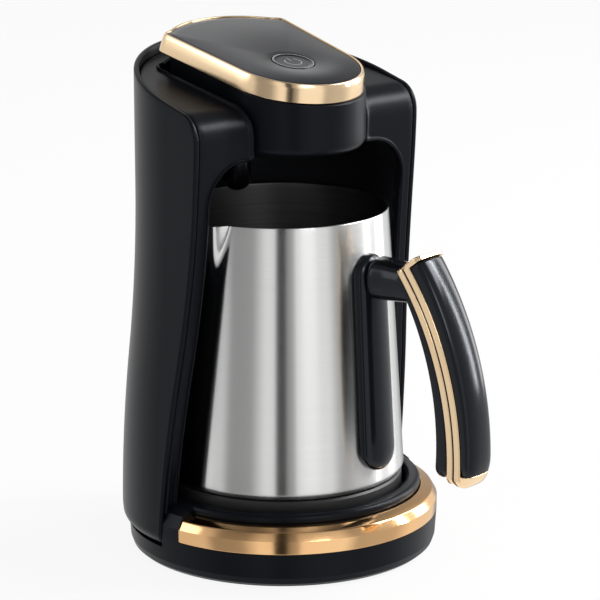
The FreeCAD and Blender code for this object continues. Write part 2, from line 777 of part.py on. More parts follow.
def heating_element():
    """Flat-sided heating horseshoe under the plate with two pins turned down at its ends."""
    top = PLATE_TOP - PLATE_SKIN
    start = math.radians(90.0 + ELEMENT_OPEN / 2)
    low = top - 2 * ELEMENT_TUBE
    half = ELEMENT_TUBE
    cut = ELEMENT_CHAMFER
    corners = [(-half, low + cut), (-half + cut, low), (half - cut, low), (half, low + cut), (half, top), (-half, top)]
    section = polygon([Vector(ELEMENT_R + r, 0, z) for r, z in corners])
    section.rotate(ORIGIN, UP, math.degrees(start))
    body = section.revolve(ORIGIN, UP, 360.0 - ELEMENT_OPEN)
    for side in (-1, 1):
        angle = math.radians(90.0 + side * (ELEMENT_OPEN / 2 + 4.0))
        x = ELEMENT_R * math.cos(angle)
        y = ELEMENT_R * math.sin(angle)
        body = body.fuse(cylinder(ELEMENT_PIN_R, low - ELEMENT_PIN_LONG, low + 1, x, y))
    return body.removeSplitter()


def thermostat():
    top = PLATE_TOP - PLATE_SKIN
    step = THERMOSTAT_LOW + THERMOSTAT_STEP
    can = cylinder(THERMOSTAT_R, step, top)
    base = cylinder(THERMOSTAT_R - 1.5, THERMOSTAT_LOW, step)
    for side in (-1, 1):
        base = base.fuse(box((side * 5 - 2.5, -0.5, THERMOSTAT_LOW - 6), (side * 5 + 2.5, 0.5, THERMOSTAT_LOW)))
    return can.fuse(base).removeSplitter()


def thermostat_clip():
    """Bent steel strap that holds the thermostat up against the plate."""
    top = PLATE_TOP - PLATE_SKIN
    reach = THERMOSTAT_R + 1.2
    outside = reach + CLIP_THICK
    foot = reach + CLIP_FOOT
    strap_top = THERMOSTAT_LOW + THERMOSTAT_STEP - 0.05
    strap_low = THERMOSTAT_LOW + THERMOSTAT_STEP - CLIP_THICK
    half = [
        (outside, strap_low), (outside, top - CLIP_THICK), (foot, top - CLIP_THICK), (foot, top),
        (reach, top), (reach, strap_top),
    ]
    outline = half + [(-x, z) for x, z in half[::-1]]
    strap = polygon([Vector(x, -CLIP_WIDTH / 2, z) for x, z in outline]).extrude(Vector(0, CLIP_WIDTH, 0))
    return strap.cut(cylinder(THERMOSTAT_R - 1.4, 0, strap_top + 0.55))


def thermal_fuse():
    z = PLATE_TOP - PLATE_SKIN - FUSE_R - 0.1
    half = FUSE_LONG / 2.0
    across = Vector(1, 0, 0)
    fuse = Part.makeCylinder(FUSE_R, FUSE_LONG, Vector(-half, FUSE_Y, z), across)
    for x in (-half - FUSE_LEAD_LONG, half):
        fuse = fuse.fuse(Part.makeCylinder(FUSE_LEAD_R, FUSE_LEAD_LONG, Vector(x, FUSE_Y, z), across))
    return fuse.removeSplitter()


def bottom_cover():
    """Round cover under the base with a groove for the foot ring and vent slots."""
    cover = cylinder(BASE_BOTTOM_R - COVER_EDGE - FIT, BASE_UNDERSIDE, COVER_TOP)
    groove = ring(FOOT_RING_R + FIT, FOOT_RING_R - FOOT_RING_WIDTH - FIT, 0, BASE_UNDERSIDE + FOOT_GROOVE)
    cover = cover.cut(groove)
    for i in range(VENT_COUNT):
        x = (i - VENT_COUNT // 2) * VENT_PITCH
        slot = box((x - VENT_HALF_WIDE, -VENT_HALF_LONG, 0), (x + VENT_HALF_WIDE, VENT_HALF_LONG, 10))
        cover = cover.cut(slot)
    for x, y in base_bosses():
        cover = cover.cut(cylinder(3.0, 0, BASE_UNDERSIDE + 1.0, x, y))
        cover = cover.cut(cylinder(1.7, 0, 10, x, y))
    return cover


def foot_ring():
    return ring(FOOT_RING_R, FOOT_RING_R - FOOT_RING_WIDTH, 0.0, BASE_UNDERSIDE + FOOT_GROOVE)


def bottom_screws():
    screws = []
    for x, y in base_bosses():
        head = cylinder(2.8, BASE_UNDERSIDE + 0.1, BASE_UNDERSIDE + 1.0, x, y)
        shank = cylinder(1.2, BASE_UNDERSIDE + 1.0, COVER_TOP + 9, x, y)
        screws.append(head.fuse(shank).removeSplitter())
    return Part.makeCompound(screws)


def cord_gland():
    """Grommet for the mains lead: a flange outside the wall, a neck through it and a lip inside."""
    face_y = BASE_R + 0.1
    flange = Part.makeCylinder(GLAND_R, GLAND_LIP, Vector(0, face_y, GLAND_Z), BACK)
    neck = Part.makeCylinder(GLAND_R - 1.2, GLAND_NECK, Vector(0, face_y - GLAND_NECK, GLAND_Z), BACK)
    bore = Part.makeCylinder(GLAND_BORE, 30, Vector(0, face_y - 20, GLAND_Z), BACK)
    return flange.fuse(neck).cut(bore).removeSplitter()


def terminal_block():
    """Three-way block on the bottom cover, behind the cord inlet."""
    low = COVER_TOP
    far_y = TERMINAL_Y + TERMINAL_DEEP
    block = box((-TERMINAL_HALF_WIDE, TERMINAL_Y, low), (TERMINAL_HALF_WIDE, far_y, low + TERMINAL_TALL))
    for x in (-TERMINAL_PITCH, 0, TERMINAL_PITCH):
        block = block.cut(Part.makeCylinder(1.6, 20, Vector(x, TERMINAL_Y - 4, low + 4.0), BACK))
        block = block.cut(cylinder(1.5, low + 5, low + 10, x, (TERMINAL_Y + far_y) / 2.0))
    return block


def wiring_harness():
    """Sleeved lead from the terminal block, up inside the back wall to the power board."""
    rise = [(BASE_R - 6.0, 14.0)]
    runs = int(HARNESS_TOP // HARNESS_STEP)
    heights = [HARNESS_STEP * i for i in range(1, runs + 1)] + [HARNESS_TOP]
    middle = (CASING_WALL + COLUMN_WIDTH - LINER_WALL) / 2.0
    for z in heights:
        across = half_width(z, middle)
        rise.append((CASING_CENTRE_Y + math.sqrt(across * across - HARNESS_X * HARNESS_X), z))
    start_y = TERMINAL_Y + TERMINAL_DEEP + HARNESS_R
    start_z = COVER_TOP + 6.0
    points = [Vector(HARNESS_X, start_y, start_z), Vector(HARNESS_X, start_y + 4.8, start_z)]
    points += [Vector(HARNESS_X, y, z) for y, z in rise]
    return tube_along(points, HARNESS_R)


def tube_along(points, radius):
    """Straight runs joined by tangent arcs, each arc as large as its shorter run allows."""
    edges = []
    start = points[0]
    for i in range(1, len(points) - 1):
        before = (points[i] - points[i - 1])
        after = (points[i + 1] - points[i])
        turn = before.getAngle(after)
        shorter = min(before.Length, after.Length)
        bend = 0.45 * shorter / math.tan(turn / 2)
        reach = bend * math.tan(turn / 2)
        a = points[i] - before.normalize() * reach
        b = points[i] + after.normalize() * reach
        inward = (after - before).normalize()
        middle = points[i] + inward * (bend / math.cos(turn / 2) - bend)
        edges.append(line(start, a))
        edges.append(arc(a, middle, b))
        start = b
    edges.append(line(start, points[-1]))
    path = Part.Wire(edges)
    direction = (points[1] - points[0]).normalize()
    section = Part.Wire(Part.makeCircle(radius, points[0], direction))
    return path.makePipeShell([section], True, False)


# Jug parts, made with the handle along +X and then turned

def turned(shape):
    placed = shape.copy()
    placed.rotate(ORIGIN, UP, TURN)
    return placed


def jug_radius(z, inset=0.0):
    t = (z - PLATE_TOP) / (JUG_RIM_Z - PLATE_TOP)
    return JUG_LOW_R + (JUG_RIM_R - JUG_LOW_R) * t - inset


def cone_between(inset, low, high):
    """Part of the jug's cone, moved inwards by the inset, with its seam on the side away from the handle."""
    cone = Part.makeCone(jug_radius(low, inset), jug_radius(high, inset), high - low, Vector(0, 0, low))
    cone.rotate(ORIGIN, UP, 180)
    return cone


def spout_form(inset):
    """Cone that leans out of the rim to push the lip into a pouring spout."""
    root = SPOUT_ROOT_R
    low = Vector(jug_radius(JUG_RIM_Z - SPOUT_DROP) - 4.0, 0, JUG_RIM_Z - SPOUT_DROP)
    high = Vector(JUG_RIM_R + SPOUT_REACH - SPOUT_R, 0, JUG_RIM_Z)
    axis = high - low
    beyond = 1.15
    wide = root + (SPOUT_R - root) * beyond
    form = Part.makeCone(root - inset, wide - inset, axis.Length * beyond, low, axis)
    form.rotate(ORIGIN, UP, -90)
    return form


def jug_shell():
    """Thin steel jug: conical wall, rounded lower edge, recessed bottom and a pouring spout."""
    rim = JUG_RIM_Z
    recess = PLATE_TOP + JUG_DISC_THICK
    outside = cone_between(0.0, PLATE_TOP + 0.2, rim + 6)
    outside = outside.makeFillet(JUG_CORNER_R, edges_where(outside, at_height(PLATE_TOP + 0.2)))
    outside = outside.fuse(spout_form(0.0))
    floor = recess + JUG_WALL
    inside = cone_between(JUG_WALL, floor, rim + 7)
    inside = inside.makeFillet(JUG_CORNER_R - JUG_WALL, edges_where(inside, at_height(floor)))
    inside = inside.fuse(spout_form(JUG_WALL))
    shell = outside.cut(inside)
    shell = shell.cut(cylinder(JUG_DISC_R + 0.2, PLATE_TOP - 1, recess))
    return turned(shell.common(cylinder(FAR, 0, rim)).removeSplitter())


def jug_base_disc():
    disc = cylinder(JUG_DISC_R, PLATE_TOP, PLATE_TOP + JUG_DISC_THICK)
    return turned(disc.makeChamfer(0.4, edges_where(disc, at_height(PLATE_TOP))))


def handle_bracket():
    """Strip with round ends that follows the jug's wall and carries the handle."""
    half = BRACKET_WIDTH / 2.0
    low = BRACKET_LOW + half
    top = BRACKET_TOP - half
    x = JUG_RIM_R - 12.7
    outline = face_of([
        line(Vector(x, -half, low), Vector(x, -half, top)),
        arc(Vector(x, -half, top), Vector(x, 0, BRACKET_TOP), Vector(x, half, top)),
        line(Vector(x, half, top), Vector(x, half, low)),
        arc(Vector(x, half, low), Vector(x, 0, BRACKET_LOW), Vector(x, -half, low)),
    ])
    strip = outline.extrude(Vector(30, 0, 0))
    outer = cone_between(-BRACKET_THICK, BRACKET_LOW - 5, BRACKET_TOP + 5)
    inner = cone_between(-0.1, BRACKET_LOW - 6, BRACKET_TOP + 6)
    strip = strip.common(outer)
    front = edges_where(strip, lambda e: min(v.X for v in e.Vertexes) > JUG_RIM_R and e.Length > 20)
    strip = strip.makeFillet(BRACKET_EDGE_R, front)
    return turned(bored_for_screws(strip.cut(inner)))


def grip_circle():
    """Centre and radius of the arc through the three points of the grip's line."""
    (ax, az), (bx, bz), (cx, cz) = GRIP_LINE
    twice = 2.0 * ((bx - ax) * (cz - az) - (bz - az) * (cx - ax))
    b2 = (bx - ax) ** 2 + (bz - az) ** 2
    c2 = (cx - ax) ** 2 + (cz - az) ** 2
    x = ax + (b2 * (cz - az) - c2 * (bz - az)) / twice
    z = az + (c2 * (bx - ax) - b2 * (cx - ax)) / twice
    return x, z, math.hypot(ax - x, az - z)


def grip_point(t, offset):
    """A point on the grip's arc, t = 0 at its top and 1 at its foot, moved outwards by the offset."""
    x, z, radius = grip_circle()
    first = math.atan2(GRIP_LINE[0][1] - z, GRIP_LINE[0][0] - x)
    last = math.atan2(GRIP_LINE[-1][1] - z, GRIP_LINE[-1][0] - x)
    angle = first + (last - first) * t
    return Vector(x + (radius + offset) * math.cos(angle), 0, z + (radius + offset) * math.sin(angle))


def grip_layer(inner_top, inner_low, outer_top, outer_low, width, start=0.0, end=1.0):
    """One layer of the grip between two arcs beside the grip's line, whose offsets change evenly down it."""
    def along(top, low):
        stops = (start, (start + end) / 2.0, end)
        return [grip_point(t, top + (low - top) * t) for t in stops]
    inner = along(inner_top, inner_low)
    outer = along(outer_top, outer_low)
    face = face_of([arc(*inner), line(inner[-1], outer[-1]), arc(*outer), line(outer[0], inner[0])])
    face.translate(Vector(0, -width / 2.0, 0))
    return face.extrude(Vector(0, width, 0))


def side_edges_of(layer, offset_test):
    """The layer's long edges whose distance from the grip's line passes the test."""
    x, z, radius = grip_circle()
    chosen = []
    for edge in layer.Edges:
        middle = edge.valueAt((edge.FirstParameter + edge.LastParameter) / 2.0)
        offset = math.hypot(middle.x - x, middle.z - z) - radius
        if edge.Length > 60 and offset_test(offset):
            chosen.append(edge)
    return chosen


def grip_core():
    """Inner half of the grip, facing the jug."""
    face = -BAND_TOTAL - LAYER_GAP
    layer = grip_layer(-BAND_TOTAL - CORE_TOP, -BAND_TOTAL - CORE_LOW, face, face, GRIP_WIDTH, 0.0, 1.01)
    return layer.makeFillet(CORE_EDGE_R, side_edges_of(layer, lambda d: d < -BAND_TOTAL - 1.0))


def grip_trim_inner():
    low = -TRIM_BAND - TRIM_SEAM
    return grip_layer(-BAND_TOTAL, -BAND_TOTAL, low, low, GRIP_WIDTH + BAND_PROUD, CAP_TOP, CAP_LOW)


def grip_seam():
    low = -TRIM_BAND - TRIM_SEAM + LAYER_GAP
    high = -TRIM_BAND - LAYER_GAP
    return grip_layer(low, low, high, high, GRIP_WIDTH - BAND_PROUD, 0.0, 1.0)


def grip_trim_outer():
    """Outer band with an end cap over the top of the cover and a lip under its foot."""
    band = grip_layer(-TRIM_BAND, -TRIM_BAND, 0.0, 0.0, GRIP_WIDTH + BAND_PROUD, CAP_TOP, CAP_LOW)
    cap = grip_layer(-0.5, -0.5, CROWN_TOP - 0.8, CROWN_TOP - 0.8, GRIP_WIDTH + BAND_PROUD, CAP_TOP, -0.002)
    return band.fuse(cap).removeSplitter()


def grip_cover():
    """Crowned outer half of the grip, the part that fills the hand."""
    layer = grip_layer(LAYER_GAP, LAYER_GAP, CROWN_TOP, CROWN_LOW, GRIP_WIDTH, 0.0, 0.985)
    foot = [e for e in layer.Edges if e.Length < 7 and e.BoundBox.ZMax < GRIP_LINE[-1][1] + 5]
    layer = layer.makeFillet(COVER_FOOT_R, foot)
    return layer.makeFillet(CROWN_EDGE_R, side_edges_of(layer, lambda d: d > 1.5))


def handle_arm():
    """Stub between the bracket and the top of the grip."""
    half = ARM_WIDTH / 2.0
    bar = box((JUG_RIM_R - 2.7, -half, ARM_LOW), (JUG_RIM_R + 47.3, half, ARM_TOP))
    lengthwise = edges_where(bar, lambda e: abs(e.Vertexes[0].X - e.Vertexes[1].X) > 10)
    bar = bar.makeFillet(ARM_EDGE_R, lengthwise)
    bar = bar.cut(cone_between(-BRACKET_THICK - 0.02, ARM_LOW - 5, ARM_TOP + 5))
    inner = -BAND_TOTAL - CORE_TOP - LAYER_GAP
    beyond = grip_layer(inner, inner - 5.0, 40, 40, 60, -0.25, 1.0)
    pieces = bar.cut(beyond).Solids
    return bored_for_screws(min(pieces, key=lambda s: s.CenterOfMass.x))


def handle_screws():
    """Two screws through the bracket into the arm, heads on the jug side."""
    screws = []
    for z in (ARM_LOW + HANDLE_SCREW_IN, ARM_TOP - HANDLE_SCREW_IN):
        start = jug_radius(z) + 0.2
        head = Part.makeCylinder(2.6, 1.6, Vector(start, 0, z), Vector(1, 0, 0))
        shank = Part.makeCylinder(1.2, 9.0, Vector(start + 1.6, 0, z), Vector(1, 0, 0))
        screws.append(head.fuse(shank).removeSplitter())
    return screws


def bored_for_screws(shape):
    """Clearance for the handle screws in the bracket or the arm."""
    for z in (ARM_LOW + HANDLE_SCREW_IN, ARM_TOP - HANDLE_SCREW_IN):
        start = jug_radius(z)
        shape = shape.cut(Part.makeCylinder(2.7, 2.0, Vector(start - 0.2, 0, z), Vector(1, 0, 0)))
        shape = shape.cut(Part.makeCylinder(1.25, 11.0, Vector(start, 0, z), Vector(1, 0, 0)))
    return shape


def build():
    nodes = {
        "rear_shell": rear_shell(),
        "front_fascia": front_fascia(),
        "bay_liner": bay_liner(),
        "head_shell": head_shell(),
        "head_underside": head_underside(),
        "sensor_probe": sensor_probe(),
        "sensor_board": sensor_board(),
        "lid_trim": lid_trim(),
        "control_panel": control_panel(),
        "control_board": control_board(),
        "board_screws": board_screws(),
        "power_button": power_button(),
        "switch_stem": switch_stem(),
        "tact_switch": tact_switch(),
        "light_guide": light_guide(),
        "buzzer": buzzer(),
        "power_board": power_board(),
        "power_board_posts": Part.makeCompound(board_posts()),
        "power_relay": power_relay(),
        "capacitor": capacitor(),
        "base_body": base_body(),
        "base_trim": base_trim(),
        "seat_ring": seat_ring(),
        "plate_gasket": plate_gasket(),
        "heating_plate": heating_plate(),
        "heating_element": heating_element(),
        "thermostat": thermostat(),
        "thermostat_clip": thermostat_clip(),
        "thermal_fuse": thermal_fuse(),
        "bottom_cover": bottom_cover(),
        "foot_ring": foot_ring(),
        "bottom_screws": bottom_screws(),
        "cord_gland": cord_gland(),
        "terminal_block": terminal_block(),
        "wiring_harness": wiring_harness(),
        "jug_shell": jug_shell(),
        "jug_base_disc": jug_base_disc(),
        "handle_bracket": handle_bracket(),
        "grip_core": turned(grip_core()),
        "grip_trim_inner": turned(grip_trim_inner()),
        "grip_seam": turned(grip_seam()),
        "grip_trim_outer": turned(grip_trim_outer()),
        "grip_cover": turned(grip_cover()),
        "handle_arm": turned(handle_arm()),
        "handle_screws": turned(Part.makeCompound(handle_screws())),
    }
    return nodes


def main():
    os.makedirs("parts", exist_ok=True)
    total = 0
    for name, shape in build().items():
        valid = shape.isValid() and all(s.isClosed() for s in shape.Shells)
        triangles = len(shape.tessellate(0.1)[1])
        total += triangles
        print(name, "valid" if valid else "NOT VALID", len(shape.Solids), round(shape.Volume, 1), triangles)
        shape.exportStep("parts/" + name + ".step")
    print("triangles in all", total)


main()
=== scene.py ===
import json
import math

import bmesh
import bpy
import numpy as np
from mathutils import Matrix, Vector


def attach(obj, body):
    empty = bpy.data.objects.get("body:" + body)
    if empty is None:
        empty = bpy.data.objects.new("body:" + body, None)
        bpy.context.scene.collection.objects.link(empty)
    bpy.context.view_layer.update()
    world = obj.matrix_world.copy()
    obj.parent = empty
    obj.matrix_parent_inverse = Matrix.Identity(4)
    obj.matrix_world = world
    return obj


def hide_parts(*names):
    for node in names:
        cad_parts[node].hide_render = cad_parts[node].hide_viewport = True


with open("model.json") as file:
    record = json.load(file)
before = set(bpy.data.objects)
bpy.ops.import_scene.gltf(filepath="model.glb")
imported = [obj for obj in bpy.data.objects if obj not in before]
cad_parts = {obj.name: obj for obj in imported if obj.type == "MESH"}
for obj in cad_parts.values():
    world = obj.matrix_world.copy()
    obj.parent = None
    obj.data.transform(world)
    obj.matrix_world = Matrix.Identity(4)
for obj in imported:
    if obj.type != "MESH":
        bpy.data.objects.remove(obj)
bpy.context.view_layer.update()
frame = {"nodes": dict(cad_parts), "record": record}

# Sizes in millimetres, as the machine is built; every mesh is scaled to metres when it is made
MM = 0.001
TOP_HALF = 57.2
LOW_HALF = 64.2
FLARE_LOW = 12.0
FLARE_TOP = 150.0
BACK_CENTRE = 2.5
CASE_WALL = 2.2
CASE_FOOT = 10.5
TUCK_R = 6.0
TUCK_Z = 16.0
COLUMN = 7.8
FRONT_LINE = np.array([(0.5, 12.0), (5.5, 60.0), (12.3, 115.0), (17.0, 172.0)])
FRONT_ROLL = 11.0
RIM_HEIGHT, RIM_SLOPE = 188.0, 0.24
DECK_HEIGHT, DECK_SLOPE = 187.2, 0.19
BAY_FLOOR, BAY_TOP, ARCH_R = 28.6, 165.0, 16.0
NOSE_Y, NOSE_R = -7.0, 29.0
LID_CORNER = (31.8, 38.5)
LID_REAR = 49.0
LID_HEIGHT, LID_SLOPE = 201.2, 0.2
LID_BAND = 7.4
LID_RIM = 2.0
BUTTON_Y, BUTTON_R = -7.0, 8.6
HEAD_LOW = 166.0
PLATE_TOP = 31.5
JUG_LOW_R, JUG_RIM_R, JUG_RIM_Z = 49.6, 42.7, 140.7
JUG_WALL = 0.9
SPOUT_REACH, SPOUT_R, SPOUT_DROP = 5.4, 9.5, 29.0
HANDLE_TURN = 10.0
GRIP_LINE = ((70.4, 127.6), (91.0, 87.0), (96.2, 45.5))
GRIP_HALF = 8.0
BRACKET_HALF, BRACKET_THICK = 9.0, 5.0
BRACKET_LOW, BRACKET_TOP = 40.0, 127.6
BASE_R, SEAT_R = 63.2, 56.2
TRIM_LOW, TRIM_EDGE, TRIM_LIP, TRIM_TOP = 14.7, 20.0, 23.2, 25.0
TRIM_END = -10.6
TRIM_FIT, TRIM_WALL, TRIM_DRAFT = 0.25, 1.2, 1.9

# The shell's free edge, from its inner skin round to its outer one: (distance in, depth below the outer skin)
SHELL_EDGE = (
    (0.6, 2.2), (0.18, 2.02), (0.0, 1.6), (0.0, 0.9), (0.07, 0.55), (0.26, 0.26), (0.55, 0.07), (0.9, 0.0))

# Lid: rounding of its rear corners, where its rear arc ends beside them, and how far their tips stand out
LID_CORNER_R = 4.2
LID_ARC_END = (4.7, 1.7)
LID_TIP = (0.12, 0.2)
PANEL_FIT, BUTTON_FIT, PANEL_CROWN = 0.15, 0.22, 0.55

# Fascia: how far it runs on behind other pieces, its clearances, its rounds and the ridge beside the neck
FASCIA_REAR, FASCIA_HIDDEN = 62.0, 6
SHOULDER_FOOT = 176
NECK_HIGH, NECK_CORNER_R = 171.0, 2.0
HEAD_GAP, SHELL_FIT = 0.8, 0.15
INNER_ROUND, OUTER_ROUND = 1.2, 0.8
INNER_WALL, OUTER_WALL = 4.5, 3.0
RIDGE_HEIGHT, RIDGE_WIDTH, RIDGE_FROM, RIDGE_TO = 0.9, 0.035, -16, -4

# Head: its step back from the lid's outline, its round part, and the heights between which one becomes the
# other, then the round under it
HEAD_STEP, HEAD_DRAW_IN = 0.4, 3.1
HEAD_R = NOSE_R - HEAD_STEP
HEAD_MIX = (171, 181)
HEAD_UNDER, HEAD_FILLET = 12, 4.2
HEAD_FACE_LOW, HEAD_FACE_START = 9, 5

# Jug: its base disc, foot and spout, then the arm and the bracket's rim
JUG_DISC_Z, JUG_FOOT_R = 33.3, 44.8
SPOUT_TIP_R, SPOUT_SET_BACK, SPOUT_BLEND, SPOUT_SPREAD = 2.5, 4.0, 1.6, 0.34
BRACKET_RIM, BRACKET_MEAN_R = 0.8, 47.0
ARM_START, ARM_END, ARM_HALF, ARM_POWER = 48.0, 70.5, 7.0, 2.25
SEAT_BORE_R, SEAT_LOW, SEAT_TOP = 50.4, 23.6, 28.5

# Mesh cleaning in metres: points this close become one, and shorter edges vanish
SAME_POINT, NO_LENGTH = 2e-6, 1e-7


# Surfaces

def quad_mesh(name, grid, index):
    """The grid's points in metres, with one face inside each four neighbouring entries of the index."""
    corners = [index[:-1, :-1], index[1:, :-1], index[1:, 1:], index[:-1, 1:]]
    faces = np.stack(corners, axis=-1).reshape(-1, 4)
    mesh = bpy.data.meshes.new(name)
    mesh.from_pydata((grid.reshape(-1, 3) * MM).tolist(), [], faces.tolist())
    return mesh


def skin(name, grid, body, finish, stands_for=(),
         wrap_u=False, wrap_v=False, cap=False, painted_shade_finish=None):
    """A grid of points (u, v, 3) in millimetres becomes one smooth mesh of four-sided faces.
    wrap_u and wrap_v join the last row to the first; cap closes both ends of u with a fan to their middles.
    A second finish, when given, goes on the faces that look towards the vertical axis or up from a floor: a
    darker copy, painted shade for the inside of a hollow."""
    if cap:
        first = np.repeat(grid[:1].mean(axis=1, keepdims=True), grid.shape[1], axis=1)
        last = np.repeat(grid[-1:].mean(axis=1, keepdims=True), grid.shape[1], axis=1)
        grid = np.concatenate([first, grid, last])
    nu, nv = grid.shape[:2]
    index = np.arange(nu * nv).reshape(nu, nv)
    if wrap_u:
        index = np.concatenate([index, index[:1]])
    if wrap_v:
        index = np.concatenate([index, index[:, :1]], axis=1)
    mesh = quad_mesh(name, grid, index)
    merged = bmesh.new()
    merged.from_mesh(mesh)
    bmesh.ops.remove_doubles(merged, verts=merged.verts, dist=SAME_POINT)
    bmesh.ops.dissolve_degenerate(merged, edges=merged.edges, dist=NO_LENGTH)
    bmesh.ops.recalc_face_normals(merged, faces=merged.faces)
    merged.to_mesh(mesh)
    merged.free()
    mesh.polygons.foreach_set("use_smooth", np.ones(len(mesh.polygons), dtype=bool))
    piece = bpy.data.objects.new(name, mesh)
    bpy.context.scene.collection.objects.link(piece)
    mesh.materials.append(finish)
    # Inner faces and low floors take the second, darker finish: painted shade.
    if painted_shade_finish:
        mesh.materials.append(painted_shade_finish)
        count = len(mesh.polygons)
        centre, normal = np.empty(3 * count), np.empty(3 * count)
        mesh.polygons.foreach_get("center", centre)
        mesh.polygons.foreach_get("normal", normal)
        centre, normal = centre.reshape(-1, 3), normal.reshape(-1, 3)
        inward = (centre[:, :2] * normal[:, :2]).sum(1) < -0.1 * np.hypot(centre[:, 0], centre[:, 1])
        floor = (normal[:, 2] > 0.5) & (centre[:, 2] < 40 * MM)
        mesh.polygons.foreach_set("material_index", (inward | floor).astype(np.int32))
    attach(piece, body)
    if stands_for:
        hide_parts(*stands_for)
    return piece


def rounded(corners, closed=False, steps=6):
    """A line through corners (x, y, radius), each corner replaced by the arc tangent to both of its sides."""
    points = []
    count = len(corners)
    for i, (x, y, radius) in enumerate(corners):
        here = np.array((x, y), float)
        if radius <= 0 or (not closed and i in (0, count - 1)):
            points.append(here)
            continue
        before = np.array(corners[i - 1][:2], float) - here
        after = np.array(corners[(i + 1) % count][:2], float) - here
        before /= np.linalg.norm(before)
        after /= np.linalg.norm(after)
        half = 0.5 * math.acos(np.clip(before @ after, -1, 1))
        reach = radius / math.tan(half)
        centre = here + (before + after) / np.linalg.norm(before + after) * radius / math.sin(half)
        a = here + before * reach - centre
        b = here + after * reach - centre
        turn = math.atan2(a[0] * b[1] - a[1] * b[0], a @ b)
        angles = np.linspace(0, turn, steps + 1)
        cos, sin = np.cos(angles), np.sin(angles)
        arc = np.stack([a[0] * cos - a[1] * sin, a[0] * sin + a[1] * cos], 1)
        points.extend(centre + arc)
    return np.array(points)


def spaced(line, count):
    """The same line with points at equal distances along it."""
    step = np.r_[0, np.cumsum(np.hypot(*np.diff(line, axis=0).T))]
    at = np.linspace(0, step[-1], count)
    return np.stack([np.interp(at, step, line[:, 0]), np.interp(at, step, line[:, 1])], 1)


def densified(line, longest):
    """The same corners with extra points so that no stretch is longer than the given length."""
    pieces = []
    for a, b in zip(line[:-1], line[1:]):
        count = max(int(math.ceil(np.linalg.norm(b - a) / longest)), 1)
        pieces.append(a + (b - a) * np.linspace(0, 1, count, endpoint=False)[:, None])
    return np.concatenate(pieces + [line[-1:]])


def side_normals(line):
    """Unit normals to the left of an open line in the plane."""
    along = np.gradient(line, axis=0)
    along /= np.maximum(np.linalg.norm(along, axis=1, keepdims=True), 1e-9)
    return np.stack([-along[:, 1], along[:, 0]], 1)


def ease(x, low, high):
    """0 below low, 1 above high, and the smooth cubic step 3t^2 - 2t^3 between them."""
    t = np.clip((np.asarray(x, float) - low) / (high - low), 0, 1)
    return t * t * (3 - 2 * t)


def superellipse(a, power):
    """Across and up on |x|^power + |y|^power = 1 at each angle a."""
    across = np.sign(np.cos(a)) * np.abs(np.cos(a)) ** (2 / power)
    up = np.sign(np.sin(a)) * np.abs(np.sin(a)) ** (2 / power)
    return across, up


def lathe(profile, angles, centre=(0.0, 0.0)):
    """Each profile point (radius, height) carried round the vertical axis through the centre."""
    r, z = profile[:, 0][None, :], profile[:, 1][None, :]
    a = np.asarray(angles)[:, None]
    return np.stack([centre[0] + r * np.cos(a), centre[1] + r * np.sin(a), z + 0 * a], -1)


FULL_TURN = np.linspace(0, 2 * math.pi, 192, endpoint=False)


# Casing

def half_width(z):
    """Half the casing's width: two equal arcs that meet half way up the flare, upright above and below it."""
    rise = (FLARE_TOP - FLARE_LOW) / 2
    step = (LOW_HALF - TOP_HALF) / 2
    radius = (rise * rise + step * step) / (2 * step)
    z = np.asarray(z, float)
    above = np.clip(z - FLARE_LOW, 0, rise)
    below = np.clip(FLARE_TOP - z, 0, rise)
    lower = LOW_HALF - (radius - np.sqrt(radius ** 2 - above ** 2))
    upper = TOP_HALF + (radius - np.sqrt(radius ** 2 - below ** 2))
    return np.where(z < FLARE_LOW + rise, lower, upper)


def tucked_width(z):
    """Half width with the quarter-round tuck of the lower edge: middle of the round plus sqrt(R^2 - drop^2)."""
    drop = np.clip(TUCK_Z - np.asarray(z, float), 0, TUCK_R * 0.999)
    return half_width(np.maximum(z, TUCK_Z)) - TUCK_R + np.sqrt(TUCK_R ** 2 - drop ** 2)


def front_curve():
    """The columns' front line (y, z): the cubic through its four points."""
    z = np.linspace(FRONT_LINE[0, 1], FRONT_LINE[-1, 1], 80)
    fit = np.polyfit(FRONT_LINE[:, 1], FRONT_LINE[:, 0], 3)
    return np.stack([-np.polyval(fit, z), z], 1)


def side_profile(height, slope, rear, low):
    """Front line, rolled shoulder and sloping top as one line (y, z) from the foot to the rear."""
    front = front_curve()
    front = np.concatenate([[(front[0, 0], low)], front]) if low < front[0, 1] else front[front[:, 1] > low]
    y = front[-1, 0]
    corner = (y, height + slope * y, FRONT_ROLL)
    top = rounded([(front[-1, 0], front[-1, 1], 0), corner, (rear, height + slope * rear, 0)], steps=16)
    return np.concatenate([front[:-1], top])


def casing_edge():
    """The shell's free edge, in distance round the casing from the start of its half round, and height."""
    profile = densified(side_profile(RIM_HEIGHT, RIM_SLOPE, BACK_CENTRE, CASE_FOOT), 2.5)
    straight = np.stack([profile[:, 0] - BACK_CENTRE, profile[:, 1]], 1)
    angle = np.linspace(0, math.pi / 2, 60)[1:]
    rear = BACK_CENTRE + TOP_HALF * np.sin(angle)
    turned = np.stack([angle * TOP_HALF, RIM_HEIGHT + RIM_SLOPE * rear], 1)
    return np.concatenate([straight, turned])


def on_casing(q, z, inset):
    """A point of the casing: straight sides while q is negative, then a half round of the local half width."""
    width = tucked_width(z) - inset
    angle = np.clip(q, 0, None) / TOP_HALF
    return np.stack([width * np.cos(angle), BACK_CENTRE + width * np.sin(angle) + np.minimum(q, 0), z], -1)


def mirrored(grid):
    """A right-hand half and its mirror image as one grid that runs from foot to foot."""
    other = grid[::-1].copy()
    other[..., 0] *= -1
    return np.concatenate([grid, other[1:]])


